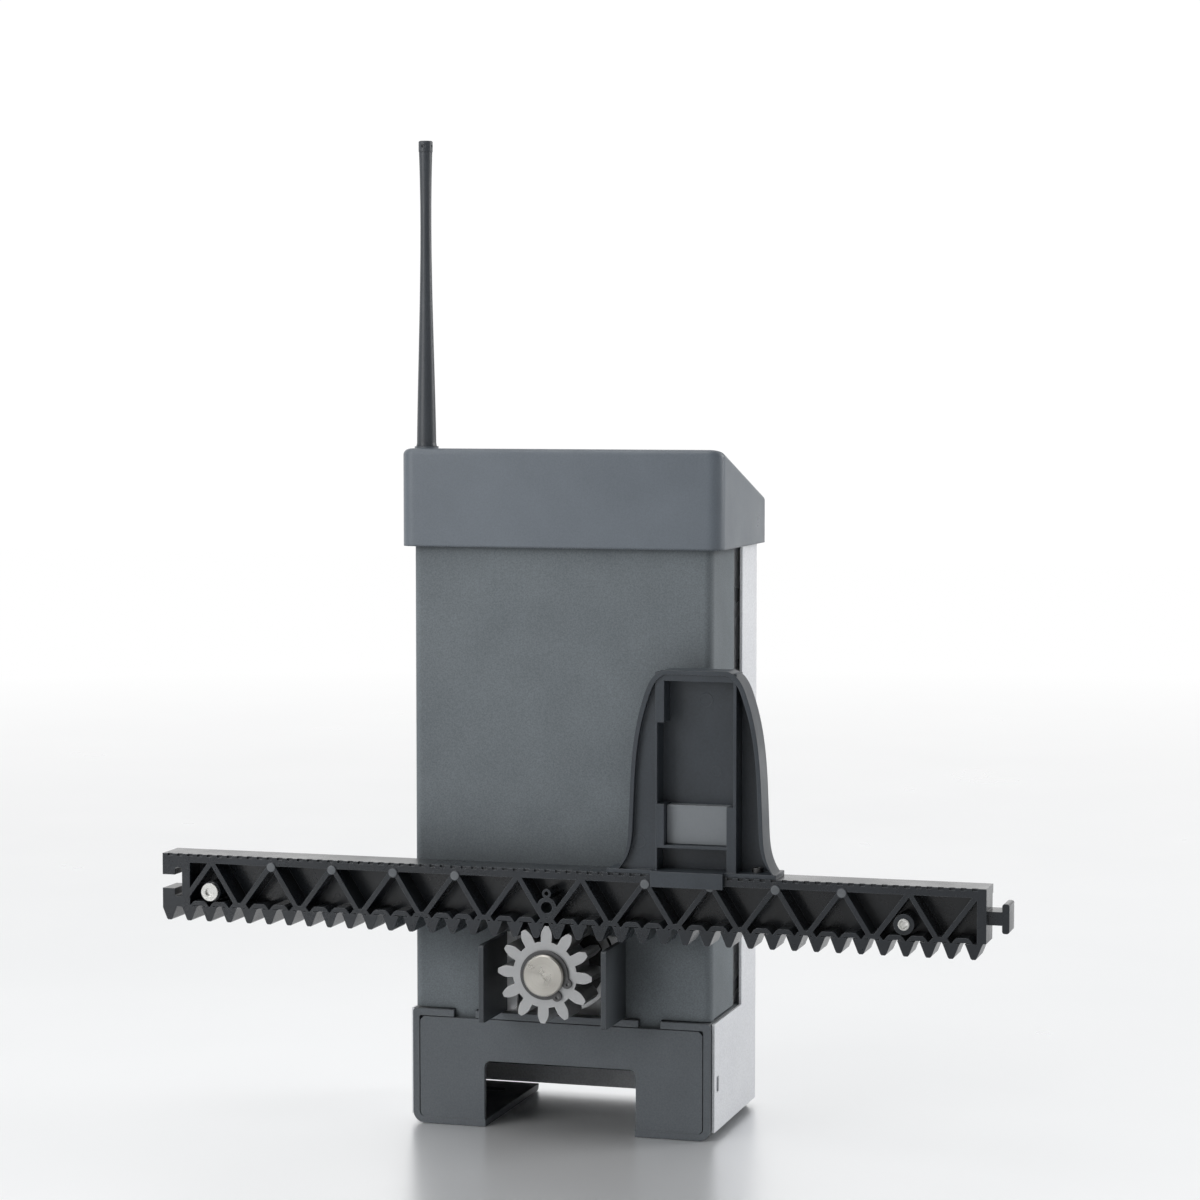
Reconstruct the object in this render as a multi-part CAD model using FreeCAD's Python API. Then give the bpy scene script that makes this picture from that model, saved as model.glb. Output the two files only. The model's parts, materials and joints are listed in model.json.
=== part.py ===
"""Sliding gate motor with one length of gear rack, modelled as separate pieces, in millimetres.

Frame: the origin is the centre of the base's footprint, on the floor. +X runs along the rack,
+Y points away from the gate (to the street), +Z is up.
"""
import FreeCAD, Part
import math
import os
from FreeCAD import Vector

# ---------------------------------------------------------------- general fits
SLIDE_GAP = 0.3            # between pieces that move past each other
SHAFT_GAP = 0.03           # radial, shaft in bearing
SPINDLE_GAP = 0.05         # radial, hand-turned spindle in its hole
SEAT_GAP = 0.3             # a loose piece standing on its seat

# ---------------------------------------------------------------- base
base_width = 180.4
base_depth = 104.0
base_height = 68.0
base_wall = 4.0
base_corner_low = 7.0      # seen from the front
base_corner_high = 2.0
back_corner = 3.0          # vertical corners inside the street cover
panel_thick = 3.0
panel_seam = 0.5           # groove between the frame and the inset panel
panel_corner = 3.0         # bottom corners
panel_chamfer = 2.2        # top corners
cutout_width = 92.0        # cable cut-out through the front panel
cutout_height = 39.0
cutout_corner = 4.0
foot_lip = 0.5             # foot plates reach this far into the cut-out
rear_panel_bottom = 16.0
slot_spacing_x = 140.0     # foundation bolts
slot_spacing_y = 60.0
slot_length = 20.0
slot_width = 9.0
gland_x = 62.0
gland_y = 34.0
gland_hole_r = 7.0         # cable way through the gland
gland_body_r = 10.5
gland_nut_r = 13.0
gland_nut_thick = 6.0
gland_height = 20.0
gland_collar = 4.0

# ---------------------------------------------------------------- gate-side housing
housing_setback = 3.5      # behind the base's front
housing_wall = 3.0
housing_gap = 0.6          # front wall, above the base
housing_side_lift = 1.0    # the side walls end this much higher than the front wall
housing_side = 50.5        # depth of its side walls
housing_corner = 5.0
tongue_width = 12.8        # tongues that drop into notches of the base's top
tongue_reach = 5.0
tongue_centres = (-58.2, 54.0)
window_left = -34.0        # opening for the pinion shaft
window_right = 36.0
window_height = 47.0
guard_thick = 3.0
guard_reach = 41.0
guard_height = 45.0
guard_lift = 1.0           # above the base's top
guard_corner = 1.5

# ---------------------------------------------------------------- cap
cap_wall = 3.0
cap_side_gap = 3.5         # between housing and skirt
cap_front_gap = 2.0
cap_back_gap = 1.0         # behind the street cover
body_show = 272.0          # housing between the base and the cap's skirt
cap_front_height = 58.0
cap_back_height = 26.0
cap_corner = 8.0
cap_edge = 3.0
cap_rim_height = 8.0       # stiffening rim under the roof
cap_seal_height = 3.7
cap_rim_wall = 2.0

# ---------------------------------------------------------------- street cover
cover_wall = 1.5
cover_corner = 4.0
cover_back_gap = 0.5       # behind the base's back edge
cover_bottom = 4.4
cover_top_gap = 0.5        # under the cap's skirt
cover_step_drop = 0.5      # the low side panels end this far below the base's top
cover_high_edge = 39.0     # depth of the side panels above the step
cover_low_setback = 3.4    # low side panels start this far behind the base's front
latch_slot_low = 27.0      # slot in the low side panels
latch_slot_height = 9.0
latch_slot_depth = 5.0
latch_slot_edge = 5.0

# ---------------------------------------------------------------- antenna
antenna_x = -84.0
antenna_inset = 11.5       # behind the cap's front
antenna_height = 177.0
antenna_tip_height = 6.3
antenna_foot_r = 5.65
antenna_waist_r = 3.3
antenna_top_r = 3.9
antenna_tip_r = 4.1
antenna_boss_r = 7.0
antenna_stud_r = 2.5
antenna_nut_r = 4.0
antenna_nut_thick = 3.0

# ---------------------------------------------------------------- rack and pinion, module 4
module = 4.0
pressure_angle = 20.0
pinion_teeth = 12
rack_teeth = 39
teeth_left = 19            # rack teeth to the left of the pinion's tooth
rack_lead_in = 4.3         # rack's left end to its first tooth's middle
rack_lead_out = 6.9        # its last tooth's middle to its right end
mesh_gap = 1.0             # the rack is carried this much clear of full depth
shaft_x = 2.0              # output axis, right of the base's middle
shaft_rise = 30.5          # output axis above the base's top
pinion_turn = -2.5         # rest angle of the tooth that stands in the rack
rack_front_reach = 35.0    # rack's front, ahead of the base's front
pinion_width = 26.0
rack_thick = 20.0
rack_rim = 2.7             # plastic around each tooth gap
rack_top_height = 39.3     # tooth tips to rack top
rack_flange = 5.0
rack_flange_extra = 2.0    # the top flange is this much deeper than the teeth
rack_web = 4.0
rack_rib = 1.7
rack_lean = 1.6            # the zigzag's upper corners lie this far right of the middle
stud_corners = (-5, -4, -3, -2, 1, 2, 3, 4)
rack_end_wall = 5.2
rack_stud_r = 2.8
rack_stud_proud = 0.6
boss_r = 5.8
boss_hole_r = 3.3
boss_height = 17.7         # above the tooth tips
boss_pitches = 16.4        # tooth pitches from the rack's middle to each side boss
ring_r = 2.6               # small locating ring above the middle boss
hook_neck_length = 8.0
hook_neck_height = 7.5
hook_bar_width = 4.0
hook_bar_height = 16.5
hook_depth = 16.0
hook_height = 22.7         # hook's middle above the tooth tips
crenel_height = 1.4
crenel_depth = 1.6

# ---------------------------------------------------------------- magnet bracket on the rack
bracket_x = 90.0
bracket_height = 115.5
bracket_depth = 17.0
bracket_wall = 2.4
left_wing_depth = 3.5      # its left wing is shallow, the right one as deep as the bracket
bracket_foot_left = 51.5   # flange, from the bracket's middle
bracket_foot_right = 46.5
bracket_flange = 2.4
bracket_half = 49.0        # half width of the bell outline's foot
bracket_crown = 0.378      # half width of its flat top, as a share of the foot's
# its side, from foot to shoulder: shares of the half width and of the height
bracket_outline = ((0.959, 0.0), (0.847, 0.078), (0.792, 0.234), (0.763, 0.511), (0.704, 0.719), (0.608, 0.875))
# its shoulder, from the side's end to the flat top: shares of what is left each way
bracket_shoulder = ((1.0, 1.0), (0.717, 0.469), (0.301, 0.103), (0.0, 0.0))
magnet_box_width = 47.0
magnet_rail = 5.2          # front face of the box beside the magnet's channel
magnet_side = 1.8          # thin right wall of the channel
channel_notch = 4.0        # the channel is wider by this over part of its height
notch_low = 40.0           # notch and channel heights, above the rack
notch_high = 86.0
channel_high = 109.5
magnet_gap = 0.3
magnet_width = 35.6
magnet_height = 22.0
magnet_thick = 8.0
magnet_lift = 17.0
magnet_ledge = 1.6
clip_left = 25.0           # clip on the rack's front, from the bracket's middle
clip_right = 17.0
clip_height = 6.5
bracket_screw_r = 1.8
bracket_screw_reach = 34.0 # each way from the bracket's middle

# ---------------------------------------------------------------- output shaft
shaft_end_r = 12.0
shaft_seat_r = 12.5
shaft_proud = 4.0          # in front of the pinion
circlip_thick = 1.5
circlip_r = 14.2
circlip_turn = -38.0       # where its ears stand
circlip_ear_spread = 20.0  # each way from there
circlip_ear_r = 2.8
circlip_eye_r = 1.0
circlip_depth = 0.9        # of its groove in the shaft
key_width = 8.0
key_height = 7.0
key_length = 18.0
bearing_r = 23.5           # 25 x 47 x 12 ball bearing
bearing_width = 12.0
seal_width = 4.0

# ---------------------------------------------------------------- worm gear, module 2.5
worm_module = 2.5
wheel_teeth = 30
worm_pitch_r = 10.0
wheel_width = 16.0
worm_turns = 4
worm_shaft_r = 6.0
worm_bearing_r = 14.0      # 12 x 28 x 8 ball bearing
worm_bearing_width = 8.0
case_wall = 4.0
wheel_side_gap = 8.0
boss_wall = 5.0
lid_screw_r = 2.0
lid_screw_head_r = 3.5
lid_screw_length = 10.0
screw_r = 2.0              # chassis and gearbox foot screws
foot_reach = 11.0          # gearbox feet, beyond the case
foot_thick = 6.0
plate_thick = 2.5          # motor plate
plate_side_gap = 30.2      # narrower than the base, each side

# ---------------------------------------------------------------- motor
motor_can_r = 29.0
motor_can_wall = 2.0
motor_can_height = 76.0
bell_height = 8.0
field_magnet_thick = 5.0
air_gap = 0.8
core_lift = 6.0            # above the can's floor
commutator_gap = 5.0       # under and over it
commutator_r = 10.0
commutator_length = 12.0
brush_length = 9.0
brush_width = 6.0
motor_bolt_r = 2.0

# ---------------------------------------------------------------- chassis plate, battery, board
chassis_thick = 1.5
chassis_web_setback = 23.5 # web's gate-side face, behind the side walls' back edge
chassis_gap = 2.8          # under the side legs
battery_side_gap = 10.2    # between the battery and the chassis plate
battery_depth = 65.0
battery_height = 94.0
tray_lip = 14.0
strap_width = 20.0
strap_thick = 1.2
board_width = 144.0
board_rise = 14.0          # above the gearbox
board_lock_gap = 15.0      # under the lock's keeper
board_thick = 1.6
board_window_half = 40.0   # window in the chassis behind the board
standoff_height = 6.0
standoff_r = 3.0
board_inset = 6.0
part_edge = 10.0           # parts from the board's side edges
part_rise = 24.0           # and its lowest row from the lower edge
terminal_blocks = 4
terminal_pitch = 5.0
terminal_size = 11.0
relay_width = 19.0
relay_height = 16.0
relay_thick = 15.0
relay_pitch = 24.0
capacitor_r = 8.0
capacitor_length = 13.0
capacitor_pitch = 20.0
capacitor_rise = 26.0      # above the relays
sink_width = 36.0
sink_height = 30.0
sink_depth = 13.0
sink_base = 3.0
sink_fin = 2.0
sink_fins = 6
display_left = -14.0       # from the board's middle
display_width = 64.0
display_height = 30.0
display_thick = 8.0
display_frame = 4.0
display_drop = 44.0        # its lower edge, below the board's top
glass_depth = 2.0
receiver_width = 30.0
receiver_height = 26.0
receiver_edge = 3.0        # its can, inside its own board
receiver_can = 5.0
key_travel = 0.5
key_pitch = 16.0
key_drop = 18.0            # keys below the display
key_r = 4.2
key_thick = 3.6
switch_size = 6.0
switch_height = 4.0
switch_bore_r = 2.0
stem_r = 1.7
key_names = ("key_back", "key_down", "key_up", "key_enter")
transformer_left = 8.0
transformer_width = 66.0
transformer_foot = 8.0     # mounting flange, each side
transformer_height = 55.0
transformer_thick = 26.0
coil_thick = 5.0

# ---------------------------------------------------------------- lock and release
lock_drop = 18.0           # below the cap's skirt
lock_bezel_r = 13.0
lock_barrel_r = 8.0
cam_depth = 8.5            # cam's gate-side face, inside the cover's back wall
cam_length = 24.0
cam_width = 9.0
cam_thick = 2.0
lever_x = 34.0
lever_rise = 37.5          # spindle above the output axis
lever_length = 48.0
lever_width = 12.0
lever_thick = 6.0
spindle_r = 5.0

# ================================================================ derived places
base_half = base_width / 2
base_front = -base_depth / 2
base_back = base_depth / 2
housing_front = base_front + housing_setback
housing_inner = housing_front + housing_wall
housing_back = housing_front + housing_side
housing_bottom = base_height + housing_gap
cap_bottom = base_height + body_show
cap_front_top = cap_bottom + cap_front_height
cap_back_top = cap_bottom + cap_back_height
lock_height = cap_bottom - lock_drop
cover_inner_half = base_half + SLIDE_GAP
cover_half = cover_inner_half + cover_wall
cover_inner_back = base_back + cover_back_gap
cover_back = cover_inner_back + cover_wall
cover_top = cap_bottom - cover_top_gap
cover_step = base_height - cover_step_drop
cover_low_front = base_front + cover_low_setback
cover_high_front = cover_back - cover_high_edge
cap_half = base_half + cap_side_gap + cap_wall
cap_front = housing_front - cap_front_gap - cap_wall
cap_back = cover_back + cap_back_gap + cap_wall
body_drop = cap_wall + cap_rim_height + cap_seal_height + SLIDE_GAP
antenna_y = cap_front + antenna_inset
cam_plane = cover_inner_back - cam_depth
rack_front = base_front - rack_front_reach
rack_back = rack_front + rack_thick
pinion_back = rack_front + pinion_width
pinion_height = base_height + shaft_rise
pinion_r = module * pinion_teeth / 2
pitch = math.pi * module
rack_pitch_z = pinion_height + pinion_r + mesh_gap
rack_tip_z = rack_pitch_z - module
rack_root_z = rack_pitch_z + 1.25 * module
rack_top_z = rack_tip_z + rack_top_height
boss_z = rack_tip_z + boss_height
rack_shift = shaft_x - math.radians(pinion_turn) * pinion_r
first_tooth = rack_shift - (teeth_left - 0.5) * pitch
last_tooth = first_tooth + (rack_teeth - 1) * pitch
rack_left = first_tooth - rack_lead_in
rack_right = last_tooth + rack_lead_out
rack_length = rack_right - rack_left
wheel_r = worm_module * wheel_teeth / 2
worm_x = shaft_x - wheel_r - worm_pitch_r
worm_pitch = math.pi * worm_module
plate_front = housing_inner
plate_back = plate_front + plate_thick
boss_front = housing_inner
bearing_front = boss_front + seal_width
case_front = bearing_front + bearing_width + 1.0
wheel_front = case_front + case_wall + 3.0
wheel_back = wheel_front + wheel_width
wheel_y = (wheel_front + wheel_back) / 2
case_back = wheel_back + wheel_side_gap
lid_back = case_back + case_wall
rear_bearing_front = lid_back - 2.0
lid_boss_back = rear_bearing_front + bearing_width + 2.0
cavity_r = wheel_r + worm_module + 1.5
case_bottom = pinion_height - cavity_r - case_wall
worm_half = worm_pitch * worm_turns / 2
low_bearing_top = pinion_height - worm_half - 8.0
case_top = pinion_height + cavity_r + case_wall
high_bearing_bottom = case_top - worm_bearing_width - 1.0
boss_outer_r = bearing_r + boss_wall
case_left = worm_x - worm_bearing_r - case_wall
chassis_half = base_half - housing_wall
case_right = shaft_x + cavity_r + case_wall
can_top = case_top + motor_can_height
bell_top = can_top + bell_height
core_length = motor_can_height - motor_can_wall - core_lift - commutator_length - 2 * commutator_gap
battery_width = 2 * (chassis_half - chassis_thick - battery_side_gap)
chassis_web = housing_back + chassis_web_setback
web_back = chassis_web + chassis_thick
tray_top = bell_top + 4.0
board_front = web_back + standoff_height
board_back = board_front + board_thick
board_bottom = case_top + board_rise
board_top = lock_height - cam_width - board_lock_gap

PIECES = {}


def keep(name, *solids):
    """Store one node. Several solids stay separate solids of that node."""
    PIECES[name] = solids[0] if len(solids) == 1 else Part.makeCompound(list(solids))


# ================================================================ shape helpers
def box(x0, x1, y0, y1, z0, z1):
    return Part.makeBox(x1 - x0, y1 - y0, z1 - z0, Vector(x0, y0, z0))


def cyl_x(r, x0, x1, y, z):
    return Part.makeCylinder(r, x1 - x0, Vector(x0, y, z), Vector(1, 0, 0))


def cyl_y(r, y0, y1, x, z):
    return Part.makeCylinder(r, y1 - y0, Vector(x, y0, z), Vector(0, 1, 0))


def cyl_z(r, z0, z1, x, y):
    return Part.makeCylinder(r, z1 - z0, Vector(x, y, z0), Vector(0, 0, 1))


def prism_y(points, y0, y1):
    """A polygon of (x, z) points, drawn out along Y."""
    wire = Part.makePolygon([Vector(x, y0, z) for x, z in points + points[:1]])
    return Part.Face(wire).extrude(Vector(0, y1 - y0, 0))


def prism_x(points, x0, x1):
    """A polygon of (y, z) points, drawn out along X."""
    wire = Part.makePolygon([Vector(x0, y, z) for y, z in points + points[:1]])
    return Part.Face(wire).extrude(Vector(x1 - x0, 0, 0))


def prism_z(points, z0, z1):
    """A polygon of (x, y) points, drawn out along Z."""
    wire = Part.makePolygon([Vector(x, y, z0) for x, y in points + points[:1]])
    return Part.Face(wire).extrude(Vector(0, 0, z1 - z0))


def edges_along(shape, axis, test=None):
    """Straight edges of the shape that run along an axis and pass a test on their middle."""
    found = []
    for edge in shape.Edges:
        ends = [v.Point for v in edge.Vertexes]
        if len(ends) != 2 or edge.Curve.TypeId != "Part::GeomLine":
            continue
        way = (ends[1] - ends[0]).normalize()
        middle = (ends[0] + ends[1]) * 0.5
        if abs(way.dot(axis)) > 0.9999 and (test is None or test(middle)):
            found.append(edge)
    return found


def round_edges(shape, radius, axis, test=None):
    return shape.makeFillet(radius, edges_along(shape, axis, test))


def rounded_box(x0, x1, y0, y1, z0, z1, radius, axis):
    return round_edges(box(x0, x1, y0, y1, z0, z1), radius, axis)


def tube_y(r_out, r_in, y0, y1, x, z):
    return cyl_y(r_out, y0, y1, x, z).cut(cyl_y(r_in, y0 - 1, y1 + 1, x, z))


def tube_z(r_out, r_in, z0, z1, x, y):
    return cyl_z(r_out, z0, z1, x, y).cut(cyl_z(r_in, z0 - 1, z1 + 1, x, y))


def fuse(first, *others):
    return first.multiFuse(list(others)) if others else first


def screw(head_r, head_h, shank_r, length, place, way):
    """A socket-head screw. place is under the head, way is the direction of its shank."""
    head = Part.makeCylinder(head_r, head_h, place, way * -1)
    socket = Part.makeCylinder(head_r * 0.5, head_h * 0.6, place + way * (-head_h * 1.01), way)
    shank = Part.makeCylinder(shank_r, length, place, way)
    return head.cut(socket).fuse(shank)


X_AXIS, Y_AXIS, Z_AXIS = Vector(1, 0, 0), Vector(0, 1, 0), Vector(0, 0, 1)


# ================================================================ base
def front_outline(inset, y0, y1, low_r, high_r):
    """The base's outline seen from the front, drawn out along Y."""
    solid = box(-base_half + inset, base_half - inset, y0, y1, inset, base_height - inset)
    solid = round_edges(solid, low_r, Y_AXIS, lambda p: p.z < base_height / 2)
    return round_edges(solid, high_r, Y_AXIS, lambda p: p.z > base_height / 2)


def foundation_slot(x, y):
    half, r = slot_length / 2 - slot_width / 2, slot_width / 2
    bar = box(x - half, x + half, y - r, y + r, -1, base_wall + 1)
    return fuse(bar, cyl_z(r, -1, base_wall + 1, x - half, y), cyl_z(r, -1, base_wall + 1, x + half, y))


def make_base():
    foot_edge = cutout_width / 2 - foot_lip
    frame = front_outline(0, base_front, base_back, base_corner_low, base_corner_high)
    inner_low = max(base_corner_low - base_wall, 1.0)
    inside = front_outline(base_wall, base_front - 1, base_back + 1, inner_low, 1.0)
    frame = frame.cut(inside).cut(box(-foot_edge, foot_edge, base_front - 1, base_back + 1, -1, base_wall + 1))
    notch_half = tongue_width / 2 + SLIDE_GAP
    for centre in tongue_centres:
        frame = frame.cut(box(centre - notch_half, centre + notch_half, base_front - 1,
                              housing_inner + SLIDE_GAP, base_height - base_wall - 1, base_height + 1))
    well = box(case_left - 3, case_right + 3, plate_back, lid_boss_back + 2,
               base_height - base_wall - 1, base_height + 1)
    frame = frame.cut(well)
    for sx in (-1, 1):
        for sy in (-1, 1):
            frame = frame.cut(foundation_slot(sx * slot_spacing_x / 2, sy * slot_spacing_y / 2))
    frame = frame.cut(cyl_z(gland_body_r, base_height - base_wall - 1, base_height + 1, gland_x, gland_y))
    frame = round_edges(frame, back_corner, Z_AXIS, lambda p: p.y > base_back - 0.1 and abs(p.x) > base_half - 0.1)
    frame = frame.cut(Part.makeCompound([cyl_z(screw_r, base_height - base_wall - 1, base_height + 1, x, y)
                                         for x, y in chassis_screw_places() + foot_screw_places()]))
    keep("base_frame", frame)

    inset = base_wall + panel_seam
    panel = box(-base_half + inset, base_half - inset, base_front, base_front + panel_thick,
                base_wall, base_height - inset)
    panel = round_edges(panel, panel_corner, Y_AXIS, lambda p: p.z < base_height / 2)
    panel = panel.makeChamfer(panel_chamfer, edges_along(panel, Y_AXIS, lambda p: p.z > base_height / 2))
    cut = box(-cutout_width / 2, cutout_width / 2, base_front - 1, base_front + panel_thick + 1,
              -10, cutout_height)
    keep("base_front_panel", panel.cut(round_edges(cut, cutout_corner, Y_AXIS, lambda p: p.z > 0)))

    rear = box(-base_half + base_wall, base_half - base_wall, base_back - panel_thick, base_back,
               rear_panel_bottom, base_height - base_wall)
    rear = round_edges(rear, 1.5, Y_AXIS, lambda p: p.z > base_height / 2)
    keep("base_rear_panel", rear)

    gland_top = base_height + gland_collar
    gland = tube_z(gland_body_r - 0.2, gland_hole_r, base_height - gland_height, gland_top, gland_x, gland_y)
    collar = tube_z(gland_nut_r, gland_body_r - 1, base_height, gland_top, gland_x, gland_y)
    nut_top = base_height - base_wall
    nut = prism_z(polygon(gland_nut_r, 6, gland_x, gland_y), nut_top - gland_nut_thick, nut_top)
    nut = nut.cut(cyl_z(gland_body_r - 0.2, 0, base_height, gland_x, gland_y))
    keep("cable_gland", gland.fuse(collar), nut)


def polygon(radius, sides, x, y, turn=0.0):
    return [(x + radius * math.cos(turn + 2 * math.pi * i / sides),
             y + radius * math.sin(turn + 2 * math.pi * i / sides)) for i in range(sides)]


# ================================================================ housing, guards, chassis, motor plate
def roof_z(y):
    """Height of the cap's outer roof plane at depth y."""
    return cap_front_top + (cap_back_top - cap_front_top) * (y - cap_front) / (cap_back - cap_front)


def under_roof(drop, thick, half):
    """A slab parallel to the roof: its top lies drop below the roof, and it is thick deep."""
    y0, y1 = cap_front - 20, cap_back + 20
    return prism_x([(y0, roof_z(y0) - drop - thick), (y1, roof_z(y1) - drop - thick),
                    (y1, roof_z(y1) - drop), (y0, roof_z(y0) - drop)], -half, half)


def below_roof(drop, half):
    """Everything that lies more than drop below the roof."""
    y0, y1 = cap_front - 20, cap_back + 20
    return prism_x([(y0, -20), (y1, -20), (y1, roof_z(y1) - drop), (y0, roof_z(y0) - drop)], -half, half)


def make_housing():
    tall = cap_front_top + 10
    shell = box(-base_half, base_half, housing_front, housing_back, housing_bottom, tall)
    shell = round_edges(shell, housing_corner, Z_AXIS, lambda p: p.y < housing_front + 1)
    inner = box(-base_half + housing_wall, base_half - housing_wall, housing_inner, housing_back + 1,
                housing_bottom - 1, tall + 1)
    inner = round_edges(inner, housing_corner - housing_wall, Z_AXIS, lambda p: p.y < housing_inner + 1)
    shell = shell.cut(inner).common(below_roof(body_drop, cap_half))
    window = box(window_left, window_right, housing_front - 1, housing_inner + 1,
                 housing_bottom - 1, housing_bottom + window_height)
    side_cut = box(-base_half - 1, base_half + 1, housing_front + housing_corner, housing_back + 1,
                   housing_bottom - 1, housing_bottom + housing_side_lift)
    shell = shell.cut(window).cut(side_cut)
    tongues = [box(x - tongue_width / 2, x + tongue_width / 2, housing_front, housing_inner,
                   base_height - tongue_reach, housing_bottom + 1) for x in tongue_centres]
    keep("rear_housing", fuse(shell, *tongues))

    low = base_height + guard_lift
    guards = []
    for x in (window_left - guard_thick, window_right):
        plate = box(x, x + guard_thick, housing_front - guard_reach, housing_front, low, low + guard_height)
        plate = round_edges(plate, guard_corner, X_AXIS, lambda p: p.y < housing_front - 1)
        guards.append(plate)
    keep("pinion_guards", *guards)

    plate_half = base_half - plate_side_gap
    plate = box(-plate_half, plate_half, plate_front, plate_back, base_height, case_top + 6)
    arch_r = boss_outer_r + 1.5
    arch = fuse(cyl_y(arch_r, plate_front - 1, plate_back + 1, shaft_x, pinion_height),
                box(shaft_x - arch_r, shaft_x + arch_r, plate_front - 1, plate_back + 1, base_height - 1,
                    pinion_height))
    keep("motor_plate", plate.cut(arch))


def chassis_screw_places():
    return [(side * (chassis_half - 7), y) for side in (-1, 1) for y in (housing_back + 1, web_back - 5)]


def foot_screw_places():
    return [(x, y) for x in (case_left - foot_reach / 2 - 1.5, case_right + foot_reach / 2 + 1.5)
            for y in (case_front + 6, housing_back - 12)]


def make_chassis():
    front = housing_back - 6
    low_leg = base_height
    top = cap_front_top
    half = chassis_half
    left = box(-half, -half + chassis_thick, front, web_back, low_leg, top)
    right = box(half - chassis_thick, half, front, web_back, low_leg, top)
    web = box(-half, half, chassis_web, web_back, case_top + 8, top)
    sheet = fuse(left, right, web)
    notch = box(-half - 1, half + 1, front + 6, cover_high_front, low_leg - 1, low_leg + chassis_gap)
    sheet = sheet.cut(notch).common(below_roof(body_drop, cap_half))
    feet = [box(x0, x1, front, web_back, base_height, base_height + chassis_thick)
            for x0, x1 in ((-half, -half + 12), (half - 12, half))]
    far, low, high = cam_length + 2, lock_height - cam_width, lock_height + cam_width
    catch = cam_plane + cam_thick + 1
    keeper = fuse(box(far, far + chassis_thick, web_back, catch + chassis_thick, low, high),
                  box(lock_barrel_r + 4, far + chassis_thick, catch, catch + chassis_thick, low, high))
    keep("lock_keeper", keeper)
    sheet = fuse(sheet, *feet)
    window = box(-board_window_half, board_window_half, chassis_web - 1, web_back + 1, board_bottom + board_inset * 2,
                 (board_bottom + board_top) / 2 - board_inset)
    holes = [cyl_z(screw_r, base_height - 1, base_height + chassis_thick + 1, x, y)
             for x, y in chassis_screw_places()]
    keep("chassis_plate", sheet.cut(window).cut(Part.makeCompound(holes)))
    keep("chassis_screws", *[screw(screw_r * 1.7, 2.2, screw_r, chassis_thick + base_wall + 1,
                                   Vector(x, y, base_height + chassis_thick), Vector(0, 0, -1))
                             for x, y in chassis_screw_places()])


# ================================================================ cap and antenna
def roofed_prism(x_half, y0, y1, z0, drop, corner):
    solid = box(-x_half, x_half, y0, y1, z0, cap_front_top + 30)
    solid = round_edges(solid, corner, Z_AXIS)
    return solid.common(below_roof(drop, cap_half + 10))


def make_cap():
    outer = roofed_prism(cap_half, cap_front, cap_back, cap_bottom, 0, cap_corner)
    roof_edges = [e for e in outer.Edges
                  if all(abs(v.Z - roof_z(v.Y)) < 1e-4 for v in e.Vertexes) and e.CenterOfMass.z > cap_bottom + 5]
    outer = outer.makeFillet(cap_edge, roof_edges)
    inner = roofed_prism(cap_half - cap_wall, cap_front + cap_wall, cap_back - cap_wall, cap_bottom - 1,
                         cap_wall, cap_corner - cap_wall)
    cap = outer.cut(inner)
    loop_out = box(-base_half, base_half, housing_front, web_back, cap_bottom - 40, cap_front_top + 20)
    loop_in = box(-base_half + cap_rim_wall, base_half - cap_rim_wall, housing_front + cap_rim_wall,
                  web_back - cap_rim_wall, cap_bottom - 41, cap_front_top + 21)
    loop = loop_out.cut(loop_in)
    rim = loop.common(under_roof(cap_wall - 0.5, cap_rim_height + 0.5, cap_half))
    boss_y = antenna_y
    boss = cyl_z(antenna_boss_r, roof_z(boss_y) - 8, cap_front_top, antenna_x, boss_y)
    cap = fuse(cap, rim, boss)
    cap = cap.cut(cyl_z(antenna_stud_r + 0.1, cap_bottom, cap_front_top + 5, antenna_x, boss_y))
    keep("top_cap", cap)
    seal = loop.common(under_roof(cap_wall + cap_rim_height, cap_seal_height, cap_half))
    keep("cap_seal", seal)


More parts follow.
